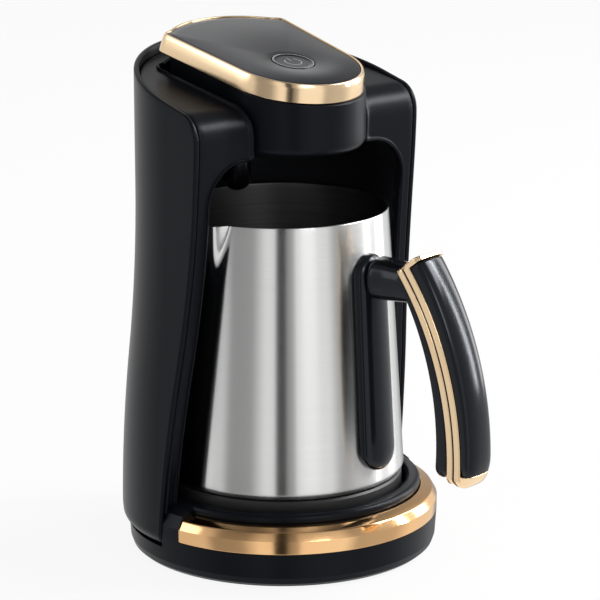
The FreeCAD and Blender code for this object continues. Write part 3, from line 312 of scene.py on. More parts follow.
def shell_grid():
    """Rows between the free edge and the lower edge, both skins of the wall and the rounds between them."""
    edge = casing_edge()
    inward = -side_normals(edge)
    share = np.linspace(0, 1, len(edge))
    reach = edge[-1, 0]
    foot = np.stack([edge[0, 0] + (reach - edge[0, 0]) * share, np.full(len(edge), CASE_FOOT)], 1)
    rows = [(*SHELL_EDGE[0], t) for t in np.linspace(1, 0.02, 12)]
    rows += [(distance, inset, 0) for distance, inset in SHELL_EDGE]
    rows += [(*SHELL_EDGE[-1], t) for t in np.linspace(0, 1, 46)[1:] ** 1.15]
    grid = []
    for distance, inset, t in rows:
        flat = (edge + inward * distance) * (1 - t) + foot * t
        grid.append(on_casing(flat[:, 0], flat[:, 1], inset))
    return mirrored(np.stack(grid, 1))


def lid_loop(count, grow=0.0):
    """The lid seen from above: round nose, straight flaring sides, rounded rear corners, shallow rear arc.
    Returns points that start at the middle of the nose and go round by the right, moved outwards by grow."""
    flare = math.atan((LID_CORNER[0] - NOSE_R) / (LID_CORNER[1] - NOSE_Y))
    nose = np.linspace(-math.pi / 2, -flare, 40)
    front = np.stack([NOSE_R * np.cos(nose), NOSE_Y + NOSE_R * np.sin(nose)], 1)
    chord = LID_CORNER[0] - LID_ARC_END[0]
    rise = LID_REAR - LID_CORNER[1] - LID_ARC_END[1]
    bow = (chord ** 2 + rise ** 2) / (2 * rise)
    rear = np.linspace(math.asin(chord / bow), 0, 24)
    back = np.stack([bow * np.sin(rear), LID_REAR - bow + bow * np.cos(rear)], 1)
    corner = (LID_CORNER[0] + LID_TIP[0], LID_CORNER[1] + LID_TIP[1])
    bend = rounded([(*front[-1], 0), (*corner, LID_CORNER_R), (*back[0], 0)], steps=12)
    half = np.concatenate([front, bend[1:-1], back])
    half = spaced(half, count // 2 + 1)
    normal = -side_normals(half)
    normal[0], normal[-1] = (0, -1), (0, 1)
    half = half + normal * grow
    other = half[-2:0:-1] * (-1, 1)
    return np.concatenate([half, other])


def on_lid(flat, height):
    """A point of the lid's own plan and height above its top, put in place on the sloping top."""
    tilt = math.atan(LID_SLOPE)
    x, y = flat[..., 0], flat[..., 1]
    up = height + 0 * x
    back = y * math.cos(tilt) - up * math.sin(tilt)
    return np.stack([x, back, LID_HEIGHT + y * math.sin(tilt) + up * math.cos(tilt)], -1)


def fascia_boundaries():
    """The fascia laid flat, as distance from the middle and distance along the side profile: its inner edge
    (arch and gap round the head) and its outer edge (along the shell), point for point."""
    profile = densified(side_profile(DECK_HEIGHT, DECK_SLOPE, FASCIA_REAR, BAY_FLOOR - FASCIA_HIDDEN), 1.0)
    run = np.r_[0, np.cumsum(np.hypot(*np.diff(profile, axis=0).T))]
    upright = profile[:, 1] < SHOULDER_FOOT

    def run_at_height(z):
        return np.interp(z, profile[upright, 1], run[upright])

    def run_at_depth(y):
        return np.interp(y, profile[~upright, 0], run[~upright])

    spring = BAY_TOP - ARCH_R
    low = np.linspace(BAY_FLOOR - FASCIA_HIDDEN, spring, 60)
    jamb = np.stack([half_width(low) - COLUMN, run_at_height(low)], 1)
    angle = np.linspace(0, math.pi / 2, 14)[1:]
    bend_x = half_width(spring) - COLUMN - ARCH_R
    bend = np.stack([bend_x + ARCH_R * np.cos(angle), run_at_height(spring + ARCH_R * np.sin(angle))], 1)
    gap = lid_loop(400, HEAD_GAP)[:201]
    face_y = float(np.interp(BAY_TOP, profile[upright, 1], profile[upright, 0]))
    start = float(np.interp(face_y, gap[:, 1], gap[:, 0]))
    heights = np.linspace(run_at_height(BAY_TOP), run_at_height(NECK_HIGH), 6)
    nose = np.stack([np.full(6, start), heights], 1)
    level = gap[gap[:, 1] > float(profile[~upright, 0][0]) + 0.4]
    round_head = np.stack([level[:, 0], run_at_depth(level[:, 1])], 1)
    corner = rounded([(*bend[-1], 0), (start, heights[0], NECK_CORNER_R), (*nose[-1], 0)], steps=8)
    inner = [jamb, bend, corner[1:], round_head]

    outer_x = half_width(profile[:, 1]) - CASE_WALL - SHELL_FIT
    side = profile[:, 0] < BACK_CENTRE
    sides = np.stack([outer_x[side], run[side]], 1)
    turn = np.linspace(0, math.pi / 2, 90)[1:]
    wide = TOP_HALF - CASE_WALL - SHELL_FIT
    rear_y = BACK_CENTRE + wide * np.sin(turn)
    rear = np.stack([wide * np.cos(turn), run_at_depth(rear_y)], 1)
    cuts = (run_at_height(spring), run_at_height(BAY_TOP + 4), run_at_depth(-6.0))
    at = sides[:, 1]
    outer = [sides[at <= cuts[0]], sides[(at > cuts[0]) & (at <= cuts[1])],
             sides[(at > cuts[1]) & (at <= cuts[2])], np.concatenate([sides[at > cuts[2]], rear])]
    counts = (90, 26, 30, 150)
    inner_line, outer_line = [], []
    for i, count in enumerate(counts):
        a = inner[i] if i == 0 else np.concatenate([inner[i - 1][-1:], inner[i]])
        b = outer[i] if i == 0 else np.concatenate([outer[i - 1][-1:], outer[i]])
        inner_line.append(spaced(a, count)[(0 if i == 0 else 1):])
        outer_line.append(spaced(b, count)[(0 if i == 0 else 1):])
    return np.concatenate(inner_line), np.concatenate(outer_line), profile, run


def fascia_grid():
    """Front face, rolled shoulder and deck in one skin: straight rows between the two flat outlines, rounded
    at both edges, with the wall turned back behind them. A low ridge beside the neck falls off as exp(-t^2)."""
    inner, outer, profile, run = fascia_boundaries()
    slope = np.gradient(profile, axis=0)
    slope /= np.linalg.norm(slope, axis=1, keepdims=True)
    normal_y, normal_z = -slope[:, 1], slope[:, 0]
    inner_n, outer_n = -side_normals(inner), side_normals(outer)
    inner_n[-1], outer_n[-1] = (0, 1), (0, -1)
    soft, crisp = INNER_ROUND, OUTER_ROUND
    rows = [(0.0, INNER_WALL, 0, 0)]
    for a in np.linspace(0, math.pi / 2, 6):
        rows.append((soft * (1 - math.cos(a)), soft * (1 - math.sin(a)), 0, 0))
    rows += [(soft, 0.0, t, 0) for t in (0.015, 0.03, 0.05, 0.075, *np.linspace(0.12, 1, 11)[:-1])]
    ridge_ends = [run[np.argmax(profile[:, 0] > y)] for y in (RIDGE_FROM, RIDGE_TO)]
    ridge = RIDGE_HEIGHT * ease(inner[:, 1], *ridge_ends)
    for a in np.linspace(math.pi / 2, 0, 5):
        rows.append((crisp * (1 - math.cos(a)), crisp * (1 - math.sin(a)), 1, 1))
    rows.append((0.0, OUTER_WALL, 1, 1))
    grid = []
    for distance, depth, t, outside in rows:
        if outside:
            flat = outer + outer_n * distance
        else:
            flat = (inner + inner_n * distance) * (1 - t) + (outer + outer_n * crisp) * t
            depth = depth - ridge * math.exp(-(t / RIDGE_WIDTH) ** 2)
        y = np.interp(flat[:, 1], run, profile[:, 0]) - depth * np.interp(flat[:, 1], run, normal_y)
        z = np.interp(flat[:, 1], run, profile[:, 1]) - depth * np.interp(flat[:, 1], run, normal_z)
        grid.append(np.stack([flat[:, 0], y, z], -1))
    return mirrored(np.stack(grid, 1))


# Head and lid

def head_grid():
    """Round nose below, drawn out into the lid's outline above: the two loops are mixed by height inside the
    casing, and the upper edge follows the lid's slope."""
    loop = lid_loop(320)
    inset = HEAD_STEP + HEAD_DRAW_IN * ease(loop[:, 1], -12, 10)
    half = lid_loop(320, -1.0)
    outline = loop + (half - loop) * inset[:, None]
    turn = np.unwrap(np.arctan2(loop[:, 1] - NOSE_Y, loop[:, 0]))
    circle = np.stack([np.cos(turn), NOSE_Y / HEAD_R + np.sin(turn)], 1) * HEAD_R
    top = LID_HEIGHT + LID_SLOPE * outline[:, 1] - LID_BAND * 1.02
    corner = rounded([(-HEAD_UNDER, 0, 0), (0, 0, HEAD_FILLET), (0, HEAD_FACE_LOW, 0)], steps=8)
    rows = [(corner[i, 0], HEAD_LOW + corner[i, 1]) for i in range(len(corner) - 1)]
    grid = []
    for inward, z in rows:
        scale = (HEAD_R + inward) / HEAD_R
        y = NOSE_Y + (circle[:, 1] - NOSE_Y) * scale
        grid.append(np.stack([circle[:, 0] * scale, y, np.full(len(circle), z)], -1))
    for t in np.linspace(0, 1, 26)[1:]:
        z = HEAD_LOW + HEAD_FACE_START + (top - HEAD_LOW - HEAD_FACE_START) * t
        mix = ease(z, *HEAD_MIX)[:, None]
        flat = circle * (1 - mix) + outline * mix
        grid.append(np.stack([flat[:, 0], flat[:, 1], z], -1))
    grid.append(grid[-1] * (0.8, 0.8, 1) + (0, 2.0, 0))
    return np.stack(grid, 1)


def lid_band_grid():
    """The band's section, a bevelled bar with a rebate for the panel, carried round the lid's outline."""
    section = rounded([
        (0.5, -LID_BAND, 0.35), (-0.45, -1.5, 0.9), (-1.1, 0.15, 0.4), (-LID_RIM, 0.0, 0.2),
        (-LID_RIM, -2.4, 0), (-5, -2.4, 0), (-5, -LID_BAND, 0)], closed=True, steps=5)
    loops = [on_lid(lid_loop(320, out), up) for out, up in section]
    return np.stack(loops, 1)


def panel_grid():
    """Gloss panel: straight rows from the button's hole to the lid's outline, crowned as half a sine wave, with
    rounded edges."""
    loop = lid_loop(400, -LID_RIM - PANEL_FIT)
    bearing = np.unwrap(np.arctan2(loop[:, 1] - BUTTON_Y, loop[:, 0]))
    far = np.hypot(loop[:, 0], loop[:, 1] - BUTTON_Y)
    turn = np.linspace(-math.pi / 2, 1.5 * math.pi, 288, endpoint=False)
    reach = np.interp(turn, np.r_[bearing, bearing[0] + 2 * math.pi], np.r_[far, far[0]])
    hole = BUTTON_R + BUTTON_FIT
    rows = [(0, 0.0, -2.2), (0, 0.0, -0.35), (0, 0.1, -0.22), (0, 0.3, -0.18)]
    rows += [(t, 0.3, -0.18) for t in np.linspace(0, 1, 16)[1:]]
    rows += [(1, 0.15, -0.24), (1, 0.0, -0.5), (1, 0.0, -2.3)]
    grid = []
    for t, shy, up in rows:
        inner = hole + shy
        outer = reach - shy
        r = inner + (outer - inner) * t
        crown = PANEL_CROWN * np.sin(math.pi * np.clip(t, 0, 1)) if 0 < t < 1 else 0.0
        flat = np.stack([r * np.cos(turn), BUTTON_Y + r * np.sin(turn)], -1)
        grid.append(on_lid(flat, up + crown))
    return np.stack(grid, 1)


def button_grid():
    """Round cap, dished a little in the middle, with a rolled edge and a stepped stalk below."""
    r = BUTTON_R
    section = rounded([
        (0, -0.42, 0), (r - 1.9, -0.36, 1.0), (r - 1.0, -0.08, 0.8), (r - 0.05, -0.16, 0.35), (r, -2.0, 0.1),
        (2.4, -2.0, 0), (2.4, -5.6, 0.2), (0, -5.6, 0)], steps=5)
    turn = FULL_TURN[::2][:, None]
    flat = np.stack([section[:, 0] * np.cos(turn), BUTTON_Y + section[:, 0] * np.sin(turn)], -1)
    return on_lid(flat, section[:, 1] + 0 * turn)


def grey_arc(radius, start, end, width, up, middle=(0.0, BUTTON_Y)):
    """A thin grey line: a flat lens section carried along an arc on the lid."""
    turn = np.radians(np.linspace(start, end, max(int(abs(end - start) / 3), 8)))[:, None]
    a = np.linspace(0, 2 * math.pi, 10, endpoint=False)
    r = radius + width / 2 * np.cos(a)
    flat = np.stack([middle[0] + r * np.cos(turn), middle[1] + r * np.sin(turn)], -1)
    return on_lid(flat, up + 0.03 * np.sin(a) + 0 * turn)


def printed_line(a, b, width, up):
    """A thin printed straight line between two points of the lid's plan."""
    a, b = np.array(a, float), np.array(b, float)
    along = (b - a) / np.linalg.norm(b - a)
    side = np.array((-along[1], along[0]))
    t = np.linspace(0, 1, 8)[:, None, None]
    ring = np.linspace(0, 2 * math.pi, 10, endpoint=False)
    flat = a + (b - a) * t + side * (width / 2 * np.cos(ring))[None, :, None]
    return on_lid(flat, up + 0.03 * np.sin(ring)[None, :] + 0 * t[..., 0])


# Jug

def jug_radius(z):
    """The jug's cone: radius falls evenly from the foot to the rim."""
    return JUG_LOW_R + (JUG_RIM_R - JUG_LOW_R) * (np.asarray(z, float) - PLATE_TOP) / (JUG_RIM_Z - PLATE_TOP)


def handle_turned(points):
    """From a plan with the handle along +X to its real place, a little right of the front."""
    a = math.radians(HANDLE_TURN - 90)
    x, y, z = points[..., 0], points[..., 1], points[..., 2]
    return np.stack([x * math.cos(a) - y * math.sin(a), x * math.sin(a) + y * math.cos(a), z], -1)


def jug_grid():
    """Turned wall with a pouring lip: the radius is the smooth larger of the cone's, a, and that of a leaning
    cone whose own radius grows towards the rim, b: (a + b + sqrt((a - b)^2 + k^2)) / 2, less k / 4 where they
    meet, never below a, and faded in up the wall."""
    disc = JUG_DISC_Z
    rim = float(jug_radius(JUG_RIM_Z))
    profile = rounded([
        (0, disc, 0), (JUG_FOOT_R, disc, 0), (JUG_FOOT_R, PLATE_TOP + 0.5, 0.3),
        (JUG_LOW_R, PLATE_TOP + 0.2, 3.0),
        (rim, JUG_RIM_Z, 0.42), (rim - JUG_WALL, JUG_RIM_Z, 0.42),
        (JUG_LOW_R - JUG_WALL, disc + JUG_WALL, 2.4), (0, disc + JUG_WALL, 0)], steps=8)
    profile = densified(profile, 2.5)
    angles = np.linspace(0, 2 * math.pi, 256, endpoint=False)
    spout_at = math.radians(HANDLE_TURN - 180)
    away = np.angle(np.exp(1j * (angles - spout_at)))[:, None]
    r = profile[:, 0][None, :] + 0 * away
    z = profile[:, 1][None, :]
    up = np.clip((z - (JUG_RIM_Z - SPOUT_DROP)) / SPOUT_DROP, 0, 1)
    inset = np.clip(jug_radius(z) - r, 0, JUG_WALL)
    low_c = float(jug_radius(JUG_RIM_Z - SPOUT_DROP)) - SPOUT_SET_BACK
    centre = low_c + (JUG_RIM_R + SPOUT_REACH - SPOUT_R - low_c) * up
    own = SPOUT_TIP_R + (SPOUT_R - SPOUT_TIP_R) * up - inset
    across = centre * np.sin(away)
    lean = centre * np.cos(away) + np.sqrt(np.clip(own ** 2 - across ** 2, 0, None))
    lean = np.where(np.abs(away) < 1, lean, 0)
    wall = (r > 30) & (z > JUG_RIM_Z - SPOUT_DROP)
    k = SPOUT_BLEND
    merged = 0.5 * (r + lean + np.sqrt((r - lean) ** 2 + k * k))
    merged = merged - 0.25 * k * np.exp(-((r - lean) / 3) ** 2)
    merged = np.maximum(merged, r)
    fade = ease(up, 0.0, 0.12)
    near = np.exp(-(away / SPOUT_SPREAD) ** 4)
    r = np.where(wall, r + (merged - r) * fade * near, r)
    return np.stack([r * np.cos(angles)[:, None], r * np.sin(angles)[:, None], z + 0 * r], -1)


def bracket_grid():
    """Strip with round ends on the jug's cone: nested stadium outlines, each further in and further out from
    the wall along a superellipse, so that the strip is strongly convex."""
    straight = (BRACKET_TOP - BRACKET_LOW - 2 * BRACKET_HALF) / 2
    middle = (BRACKET_TOP + BRACKET_LOW) / 2
    turn = np.linspace(0, math.pi, 24)
    side = np.linspace(-1, 1, 40)[1:-1]
    top = np.stack([np.cos(turn), np.sin(turn), np.ones(24)], 1)
    left = np.stack([-np.ones(38), np.zeros(38), -side], 1)
    foot = np.stack([-np.cos(turn), -np.sin(turn), -np.ones(24)], 1)
    right = np.stack([np.ones(38), np.zeros(38), side], 1)
    loop = np.concatenate([top, left, foot, right])
    rows = [(0.0, -0.3), (0.0, BRACKET_RIM)]
    for a in np.linspace(0, math.pi / 2, 16)[1:]:
        out = BRACKET_RIM + (BRACKET_THICK - BRACKET_RIM) * math.sin(a) ** 0.72
        rows.append((BRACKET_HALF * (1 - math.cos(a) ** 0.9), out))
    grid = []
    for inward, out in rows:
        width = BRACKET_HALF - inward
        across = loop[:, 0] * width
        z = middle + loop[:, 1] * width + loop[:, 2] * straight
        r = jug_radius(z) + out
        angle = across / BRACKET_MEAN_R
        grid.append(np.stack([r * np.cos(angle), r * np.sin(angle), z], -1))
    return handle_turned(np.stack(grid, 1))


def grip_frame(t):
    """Points and outward directions along the arc through GRIP_LINE, t = 0 at its top and 1 at its foot, and
    the arc's length."""
    (ax, az), (bx, bz), (cx, cz) = GRIP_LINE
    twice = 2 * ((bx - ax) * (cz - az) - (bz - az) * (cx - ax))
    b2 = (bx - ax) ** 2 + (bz - az) ** 2
    c2 = (cx - ax) ** 2 + (cz - az) ** 2
    x = ax + (b2 * (cz - az) - c2 * (bz - az)) / twice
    z = az + (c2 * (bx - ax) - b2 * (cx - ax)) / twice
    radius = math.hypot(ax - x, az - z)
    first = math.atan2(az - z, ax - x)
    last = math.atan2(cz - z, cx - x)
    angle = first + (last - first) * np.asarray(t, float)
    out = np.stack([np.cos(angle), np.sin(angle)], -1)
    points = np.stack([x + radius * np.cos(angle), z + radius * np.sin(angle)], -1)
    return points, out, radius * abs(last - first)


def grip_layer(start, end, inner, outer, half, powers, top_round, foot_round, taper):
    """A bar carried along the grip's arc. Its section is a superellipse between two offsets from the arc, each
    given at the top and the foot, with one power for the half towards the jug and one for the half away from
    it. Over the end rounds it draws in as sqrt(1 - (1 - d)^2), fully in thickness and by the taper in width."""
    length = grip_frame(0.0)[2]
    t = np.linspace(start, end, 72)
    near = np.linspace(0, 1, 10)[:-1] ** 2
    t = np.unique(np.concatenate([t, start + near * top_round / length, end - near * foot_round / length]))
    centre, out, length = grip_frame(t)
    d_top = np.clip((t - start) * length / top_round, 0, 1)
    d_foot = np.clip((end - t) * length / foot_round, 0, 1)
    shrink = np.sqrt(1 - (1 - d_top) ** 2) * np.sqrt(1 - (1 - d_foot) ** 2)
    shrink = np.maximum(shrink, 0.02)
    low = inner[0] + (inner[1] - inner[0]) * t
    high = outer[0] + (outer[1] - outer[0]) * t
    a = np.linspace(0, 2 * math.pi, 48, endpoint=False)
    power = np.where(np.sin(a) < 0, powers[0], powers[1])
    across, up = superellipse(a, power)
    side = across[None, :] * (half * (1 - taper * (1 - shrink)))[:, None]
    offset = ((high + low) / 2)[:, None] + up[None, :] * ((high - low) / 2 * shrink)[:, None]
    x = centre[:, :1] + out[:, :1] * offset
    z = centre[:, 1:] + out[:, 1:] * offset
    return handle_turned(np.stack([x, side, z], -1))


def arm_grid():
    """Stub from the bracket to the grip: a superellipse that swells into a collar at the bracket."""
    x = np.linspace(0, 1, 40)
    a = np.linspace(0, 2 * math.pi, 56, endpoint=False)
    collar = 1 + 0.10 * (1 - ease(x, 0.05, 0.45))
    half = ARM_HALF * collar
    low = 110.0 + 1.5 * x
    high = 127.4 - 0.9 * x
    across, up = superellipse(a, ARM_POWER)
    shrink = np.sqrt(1 - (1 - np.clip(x / 0.12, 0, 1)) ** 2) * 0.35 + 0.65
    r = ARM_START + (ARM_END - ARM_START) * x
    z = ((low + high) / 2)[:, None] + up[None, :] * ((high - low) / 2 * shrink)[:, None]
    side = across[None, :] * (half * shrink)[:, None]
    return handle_turned(np.stack([r[:, None] + 0 * side, side, z], -1))


# Base

def base_trim_grid():
    """Bevelled band with a sloping top, carried round the front of the base."""
    section = rounded([
        (BASE_R, TRIM_LOW, 0.3), (BASE_R, TRIM_EDGE, 0.5), (BASE_R - TRIM_DRAFT, TRIM_LIP, 1.2),
        (SEAT_R + TRIM_FIT, TRIM_TOP, 0.3), (SEAT_R + TRIM_FIT, TRIM_TOP - TRIM_WALL, 0),
        (BASE_R - 2.9, TRIM_LIP - TRIM_WALL, 0), (BASE_R - TRIM_WALL, TRIM_EDGE - 0.4, 0),
        (BASE_R - TRIM_WALL, TRIM_LOW, 0)],
        closed=True, steps=5)
    end = math.asin(-TRIM_END / BASE_R)
    return lathe(section, np.linspace(-math.pi + end, -end, 200))


def seat_grid():
    """Rounded black ring round the hot plate."""
    section = rounded([
        (SEAT_BORE_R, SEAT_LOW, 0), (SEAT_R, SEAT_LOW, 0), (SEAT_R, SEAT_TOP, 1.9),
        (SEAT_BORE_R, SEAT_TOP, 1.6)], closed=True, steps=8)
    return lathe(section, FULL_TURN)


# Finishes

COOL_SHEEN = (0.84, 0.90, 1.0, 1.0)


class Field:
    """A number at every point of a surface, so that shading sums read as written."""

    def __init__(self, finish, socket):
        self.finish = finish
        self.socket = socket

    def _sum(self, operation, a, b):
        return self.finish.node("ShaderNodeMath", {"operation": operation}, {0: a, 1: b})

    def __add__(self, other):
        return self._sum("ADD", self, other)

    def __radd__(self, other):
        return self._sum("ADD", other, self)

    def __sub__(self, other):
        return self._sum("SUBTRACT", self, other)

    def __rsub__(self, other):
        return self._sum("SUBTRACT", other, self)

    def __mul__(self, other):
        return self._sum("MULTIPLY", self, other)

    def __rmul__(self, other):
        return self._sum("MULTIPLY", other, self)


class Nodework:
    """The nodes of one finish or of the room."""

    def __init__(self, tree):
        self.nodes = tree.nodes
        self.links = tree.links

    def node(self, kind, settings=None, inputs=None, out=0):
        """A node of that kind: settings first, then a value or a link for each named or numbered socket."""
        made = self.nodes.new(kind)
        for key, value in (settings or {}).items():
            if key == "stops":
                ramp = made.color_ramp
                for i, (at, shade) in enumerate(value):
                    stop = ramp.elements[i] if i < 2 else ramp.elements.new(at)
                    stop.position = at
                    stop.color = (*shade, 1.0) if len(shade) == 3 else shade
            else:
                setattr(made, key, value)
        for key, value in (inputs or {}).items():
            if isinstance(value, Field):
                self.links.new(value.socket, made.inputs[key])
            else:
                made.inputs[key].default_value = value
        return Field(self, made.outputs[out])

    def join(self, output, socket):
        self.links.new(output, socket)


class Finish(Nodework):
    """One finish: the standard shader and what feeds it."""

    def __init__(self, name):
        self.material = bpy.data.materials.new(name)
        self.material.use_nodes = True
        super().__init__(self.material.node_tree)
        self.shader = self.nodes["Principled BSDF"]
        self.place = self.node("ShaderNodeTexCoord", out="Object")

    def constants(self, **values):
        """Numbers that are the same all over, set on the shader's own sockets."""
        for key, value in values.items():
            self.shader.inputs[key.replace("_", " ")].default_value = value

    def feed(self, socket, field):
        self.links.new(field.socket, self.shader.inputs[socket])

    def stretched(self, scale):
        return self.node("ShaderNodeVectorMath", {"operation": "MULTIPLY"}, {0: self.place, 1: scale})

    def noise(self, scale, detail=2.0, rough=0.5, at=None):
        inputs = {"Vector": at or self.place, "Scale": scale, "Detail": detail, "Roughness": rough}
        return self.node("ShaderNodeTexNoise", {}, inputs, out="Fac")

    def mixed(self, mask, first, second):
        inputs = {"Factor": mask, 6: (*first, 1.0), 7: (*second, 1.0)}
        return self.node("ShaderNodeMix", {"data_type": "RGBA"}, inputs, out=2)

    def bumped(self, height, strength, distance):
        inputs = {"Height": height, "Strength": strength, "Distance": distance}
        self.feed("Normal", self.node("ShaderNodeBump", {}, inputs, out="Normal"))


def moulded(name, dark, light, rough, grain, spread=0.06, index=1.34):
    """Moulded plastic: a faint cloud of shade, roughness that wanders, and a fine spark-eroded grain."""
    f = Finish(name)
    cloud = f.noise(14.0, 3.0)
    dust = f.noise(420.0, 2.0)
    f.feed("Base Color", f.mixed(cloud * 0.7 + dust * 0.3, dark, light))
    f.feed("Roughness", rough - spread / 2 + cloud * spread * 0.6 + dust * spread * 0.4)
    f.bumped(f.noise(2600.0, 2.0) + cloud * 0.2, grain, 0.00004)
    f.constants(IOR=index, Specular_Tint=COOL_SHEEN)
    return f.material


def rose_metal(name, tint, deep, rough):
    """Metallised trim: polished, a little deeper in colour where the layer is thick, with hairline marks."""
    f = Finish(name)
    cloud = f.noise(30.0, 3.0)
    rub = f.noise(1.0, 3.0, at=f.stretched((60.0, 60.0, 2400.0)))
    f.feed("Base Color", f.mixed(cloud, tint, deep))
    f.feed("Roughness", rough + rub * 0.05 + cloud * 0.03)
    f.bumped(rub + cloud * 0.4, 0.05, 0.00005)
    f.constants(Metallic=1.0)
    return f.material


def brushed(name, light, dark, rough, lines, turn=0.0, stretch=0.75):
    """Brushed steel: long fine lines round the body in shade, roughness and relief, on a faint cloud."""
    f = Finish(name)
    fine = f.noise(1.0, 3.0, 0.6, f.stretched((14.0, 14.0, lines)))
    broad = f.noise(1.0, 2.0, 0.5, f.stretched((5.0, 5.0, lines * 0.2)))
    cloud = f.noise(18.0, 2.0)
    f.feed("Base Color", f.mixed(fine * 0.6 + broad * 0.25 + cloud * 0.15, light, dark))
    f.feed("Roughness", rough + fine * 0.08 + cloud * 0.02)
    f.bumped(fine + broad * 0.2, 0.10, 0.00003)
    f.constants(Metallic=1.0, Anisotropic=stretch, Anisotropic_Rotation=turn)
    return f.material


def plain_part(name, colour, rough, metallic=0.0, mottling=0.12, scale=300.0):
    """Inner parts: their colour with a fine mottling and slightly uneven gloss."""
    f = Finish(name)
    spots = f.noise(scale, 3.0)
    low = tuple(c * (1 - mottling) for c in colour)
    high = tuple(min(c * (1 + mottling), 1.0) for c in colour)
    f.feed("Base Color", f.mixed(spots, low, high))
    f.feed("Roughness", rough - 0.04 + spots * 0.08)
    f.bumped(spots, 0.12, 0.00005)
    f.constants(Metallic=metallic)
    return f.material


satin = moulded(
    "satin_black_plastic", (0.0036, 0.0042, 0.0060), (0.0056, 0.0062, 0.0084), 0.32, 0.04, index=1.22)
handle_satin = moulded(
    "handle_black_plastic", (0.0040, 0.0044, 0.0060), (0.0060, 0.0064, 0.0082), 0.17, 0.02, index=1.36)
dark_bay = moulded("bay_black_plastic", (0.006, 0.006, 0.008), (0.010, 0.010, 0.012), 0.48, 0.12)
gloss = moulded(
    "gloss_black_panel", (0.0055, 0.0055, 0.0070), (0.0080, 0.0080, 0.0095), 0.14, 0.01,
    spread=0.04, index=1.40)
rose = rose_metal("rose_gold_trim", (0.97, 0.76, 0.49), (0.95, 0.68, 0.42), 0.12)
# The same rose gold, deeper and more saturated for the base band: painted shade.
rose_painted_shade_copy = rose_metal("rose_gold_base_trim_painted_shade", (0.93, 0.60, 0.31), (0.88, 0.50, 0.22), 0.09)
steel = brushed(
    "brushed_jug_steel", (0.74, 0.74, 0.735), (0.64, 0.64, 0.635), 0.20, 5200.0, turn=0.25, stretch=0.96)
# A darker copy of the brushed steel for the jug's inner faces: painted shade.
painted_shade_steel = brushed(
    "brushed_jug_inside_painted_shade", (0.34, 0.34, 0.34), (0.10, 0.10, 0.10), 0.34, 1500.0, turn=0.25, stretch=0.5)
grey_button_marks = plain_part("grey_button_marks", (0.30, 0.31, 0.33), 0.4)
parts_finish = {
    "satin_black": satin,
    "gloss_black": gloss,
    "rose_gold": rose,
    "jug_steel": steel,
    "disc_steel": brushed("turned_steel_disc", (0.62, 0.62, 0.61), (0.48, 0.48, 0.48), 0.26, 1800.0),
    "plate_coating": plain_part("dark_plate_coating", (0.020, 0.020, 0.021), 0.42, 0.0, 0.3, 900.0),
    "element_steel": plain_part("drawn_tube_steel", (0.40, 0.38, 0.36), 0.38, 1.0),
    "screw_steel": plain_part("zinc_screws", (0.55, 0.55, 0.57), 0.3, 1.0),
    "soft_rubber": plain_part("foot_rubber", (0.016, 0.016, 0.017), 0.72, 0.0, 0.25, 700.0),
    "board_green": plain_part("circuit_board", (0.02, 0.13, 0.05), 0.4),
    "white_plastic": plain_part("white_moulding", (0.66, 0.65, 0.62), 0.45),
    "dark_parts": plain_part("dark_moulding", (0.02, 0.02, 0.022), 0.5),
    "relay_blue": plain_part("relay_case", (0.03, 0.10, 0.34), 0.42),
    "cup_aluminium": plain_part("drawn_aluminium", (0.66, 0.66, 0.67), 0.34, 1.0),
    "wire_cover": plain_part("wire_sleeve", (0.42, 0.07, 0.04), 0.62, 0.0, 0.2),
}
slot_of = {part["node"]: part["material_slot"] for part in frame["record"]["subparts"]}
for node_name, node in frame["nodes"].items():
    shaded = node_name in ("bay_liner", "head_underside")
    finish = dark_bay if shaded else parts_finish[slot_of[node_name]]
    for place in node.material_slots:
        place.material = finish

# Machine pieces
skin("casing_shell", shell_grid(), "machine", satin, ["rear_shell"], wrap_v=True)
skin("fascia_and_deck", fascia_grid(), "machine", satin, ["front_fascia"])
skin("head_and_neck", head_grid(), "machine", satin, ["head_shell"], wrap_u=True)
skin("lid_band", lid_band_grid(), "machine", rose, ["lid_trim"], wrap_u=True, wrap_v=True)
skin("top_panel", panel_grid(), "machine", gloss, ["control_panel"], wrap_u=True)
# The base band takes the deeper copy of the rose gold: painted shade.
skin("base_band", base_trim_grid(), "machine", rose_painted_shade_copy, ["base_trim"], wrap_v=True, cap=True)
skin("plate_surround", seat_grid(), "machine", satin, ["seat_ring"], wrap_u=True, wrap_v=True)

# Button
skin("round_button", button_grid(), "button", gloss, ["power_button"], wrap_u=True)
BUTTON_GREY_MARKS = {
    # The ring is a thin light grey line round the cap, just inside its rolled edge; the arc and bar are the
    # printed mark.
    "button_ring": grey_arc(BUTTON_R - 0.55, 0, 357, 0.5, -0.06),
    "button_mark_arc": grey_arc(3.4, 125, 415, 0.55, -0.36),
    "button_mark_bar": printed_line((0, BUTTON_Y + 1.2), (0, BUTTON_Y + 4.6), 0.55, -0.36),
}
for name, grid in BUTTON_GREY_MARKS.items():
    skin(name, grid, "button", grey_button_marks, wrap_v=True, cap=True)

# Jug and handle
# The jug's inner faces take the darker steel: painted shade.
skin("jug_body", jug_grid(), "jug", steel, ["jug_shell"], wrap_u=True, painted_shade_finish=painted_shade_steel)
skin("jug_bracket", bracket_grid(), "jug", handle_satin, ["handle_bracket"], wrap_u=True)
skin("handle_stub", arm_grid(), "jug", handle_satin, ["handle_arm"], wrap_v=True, cap=True)

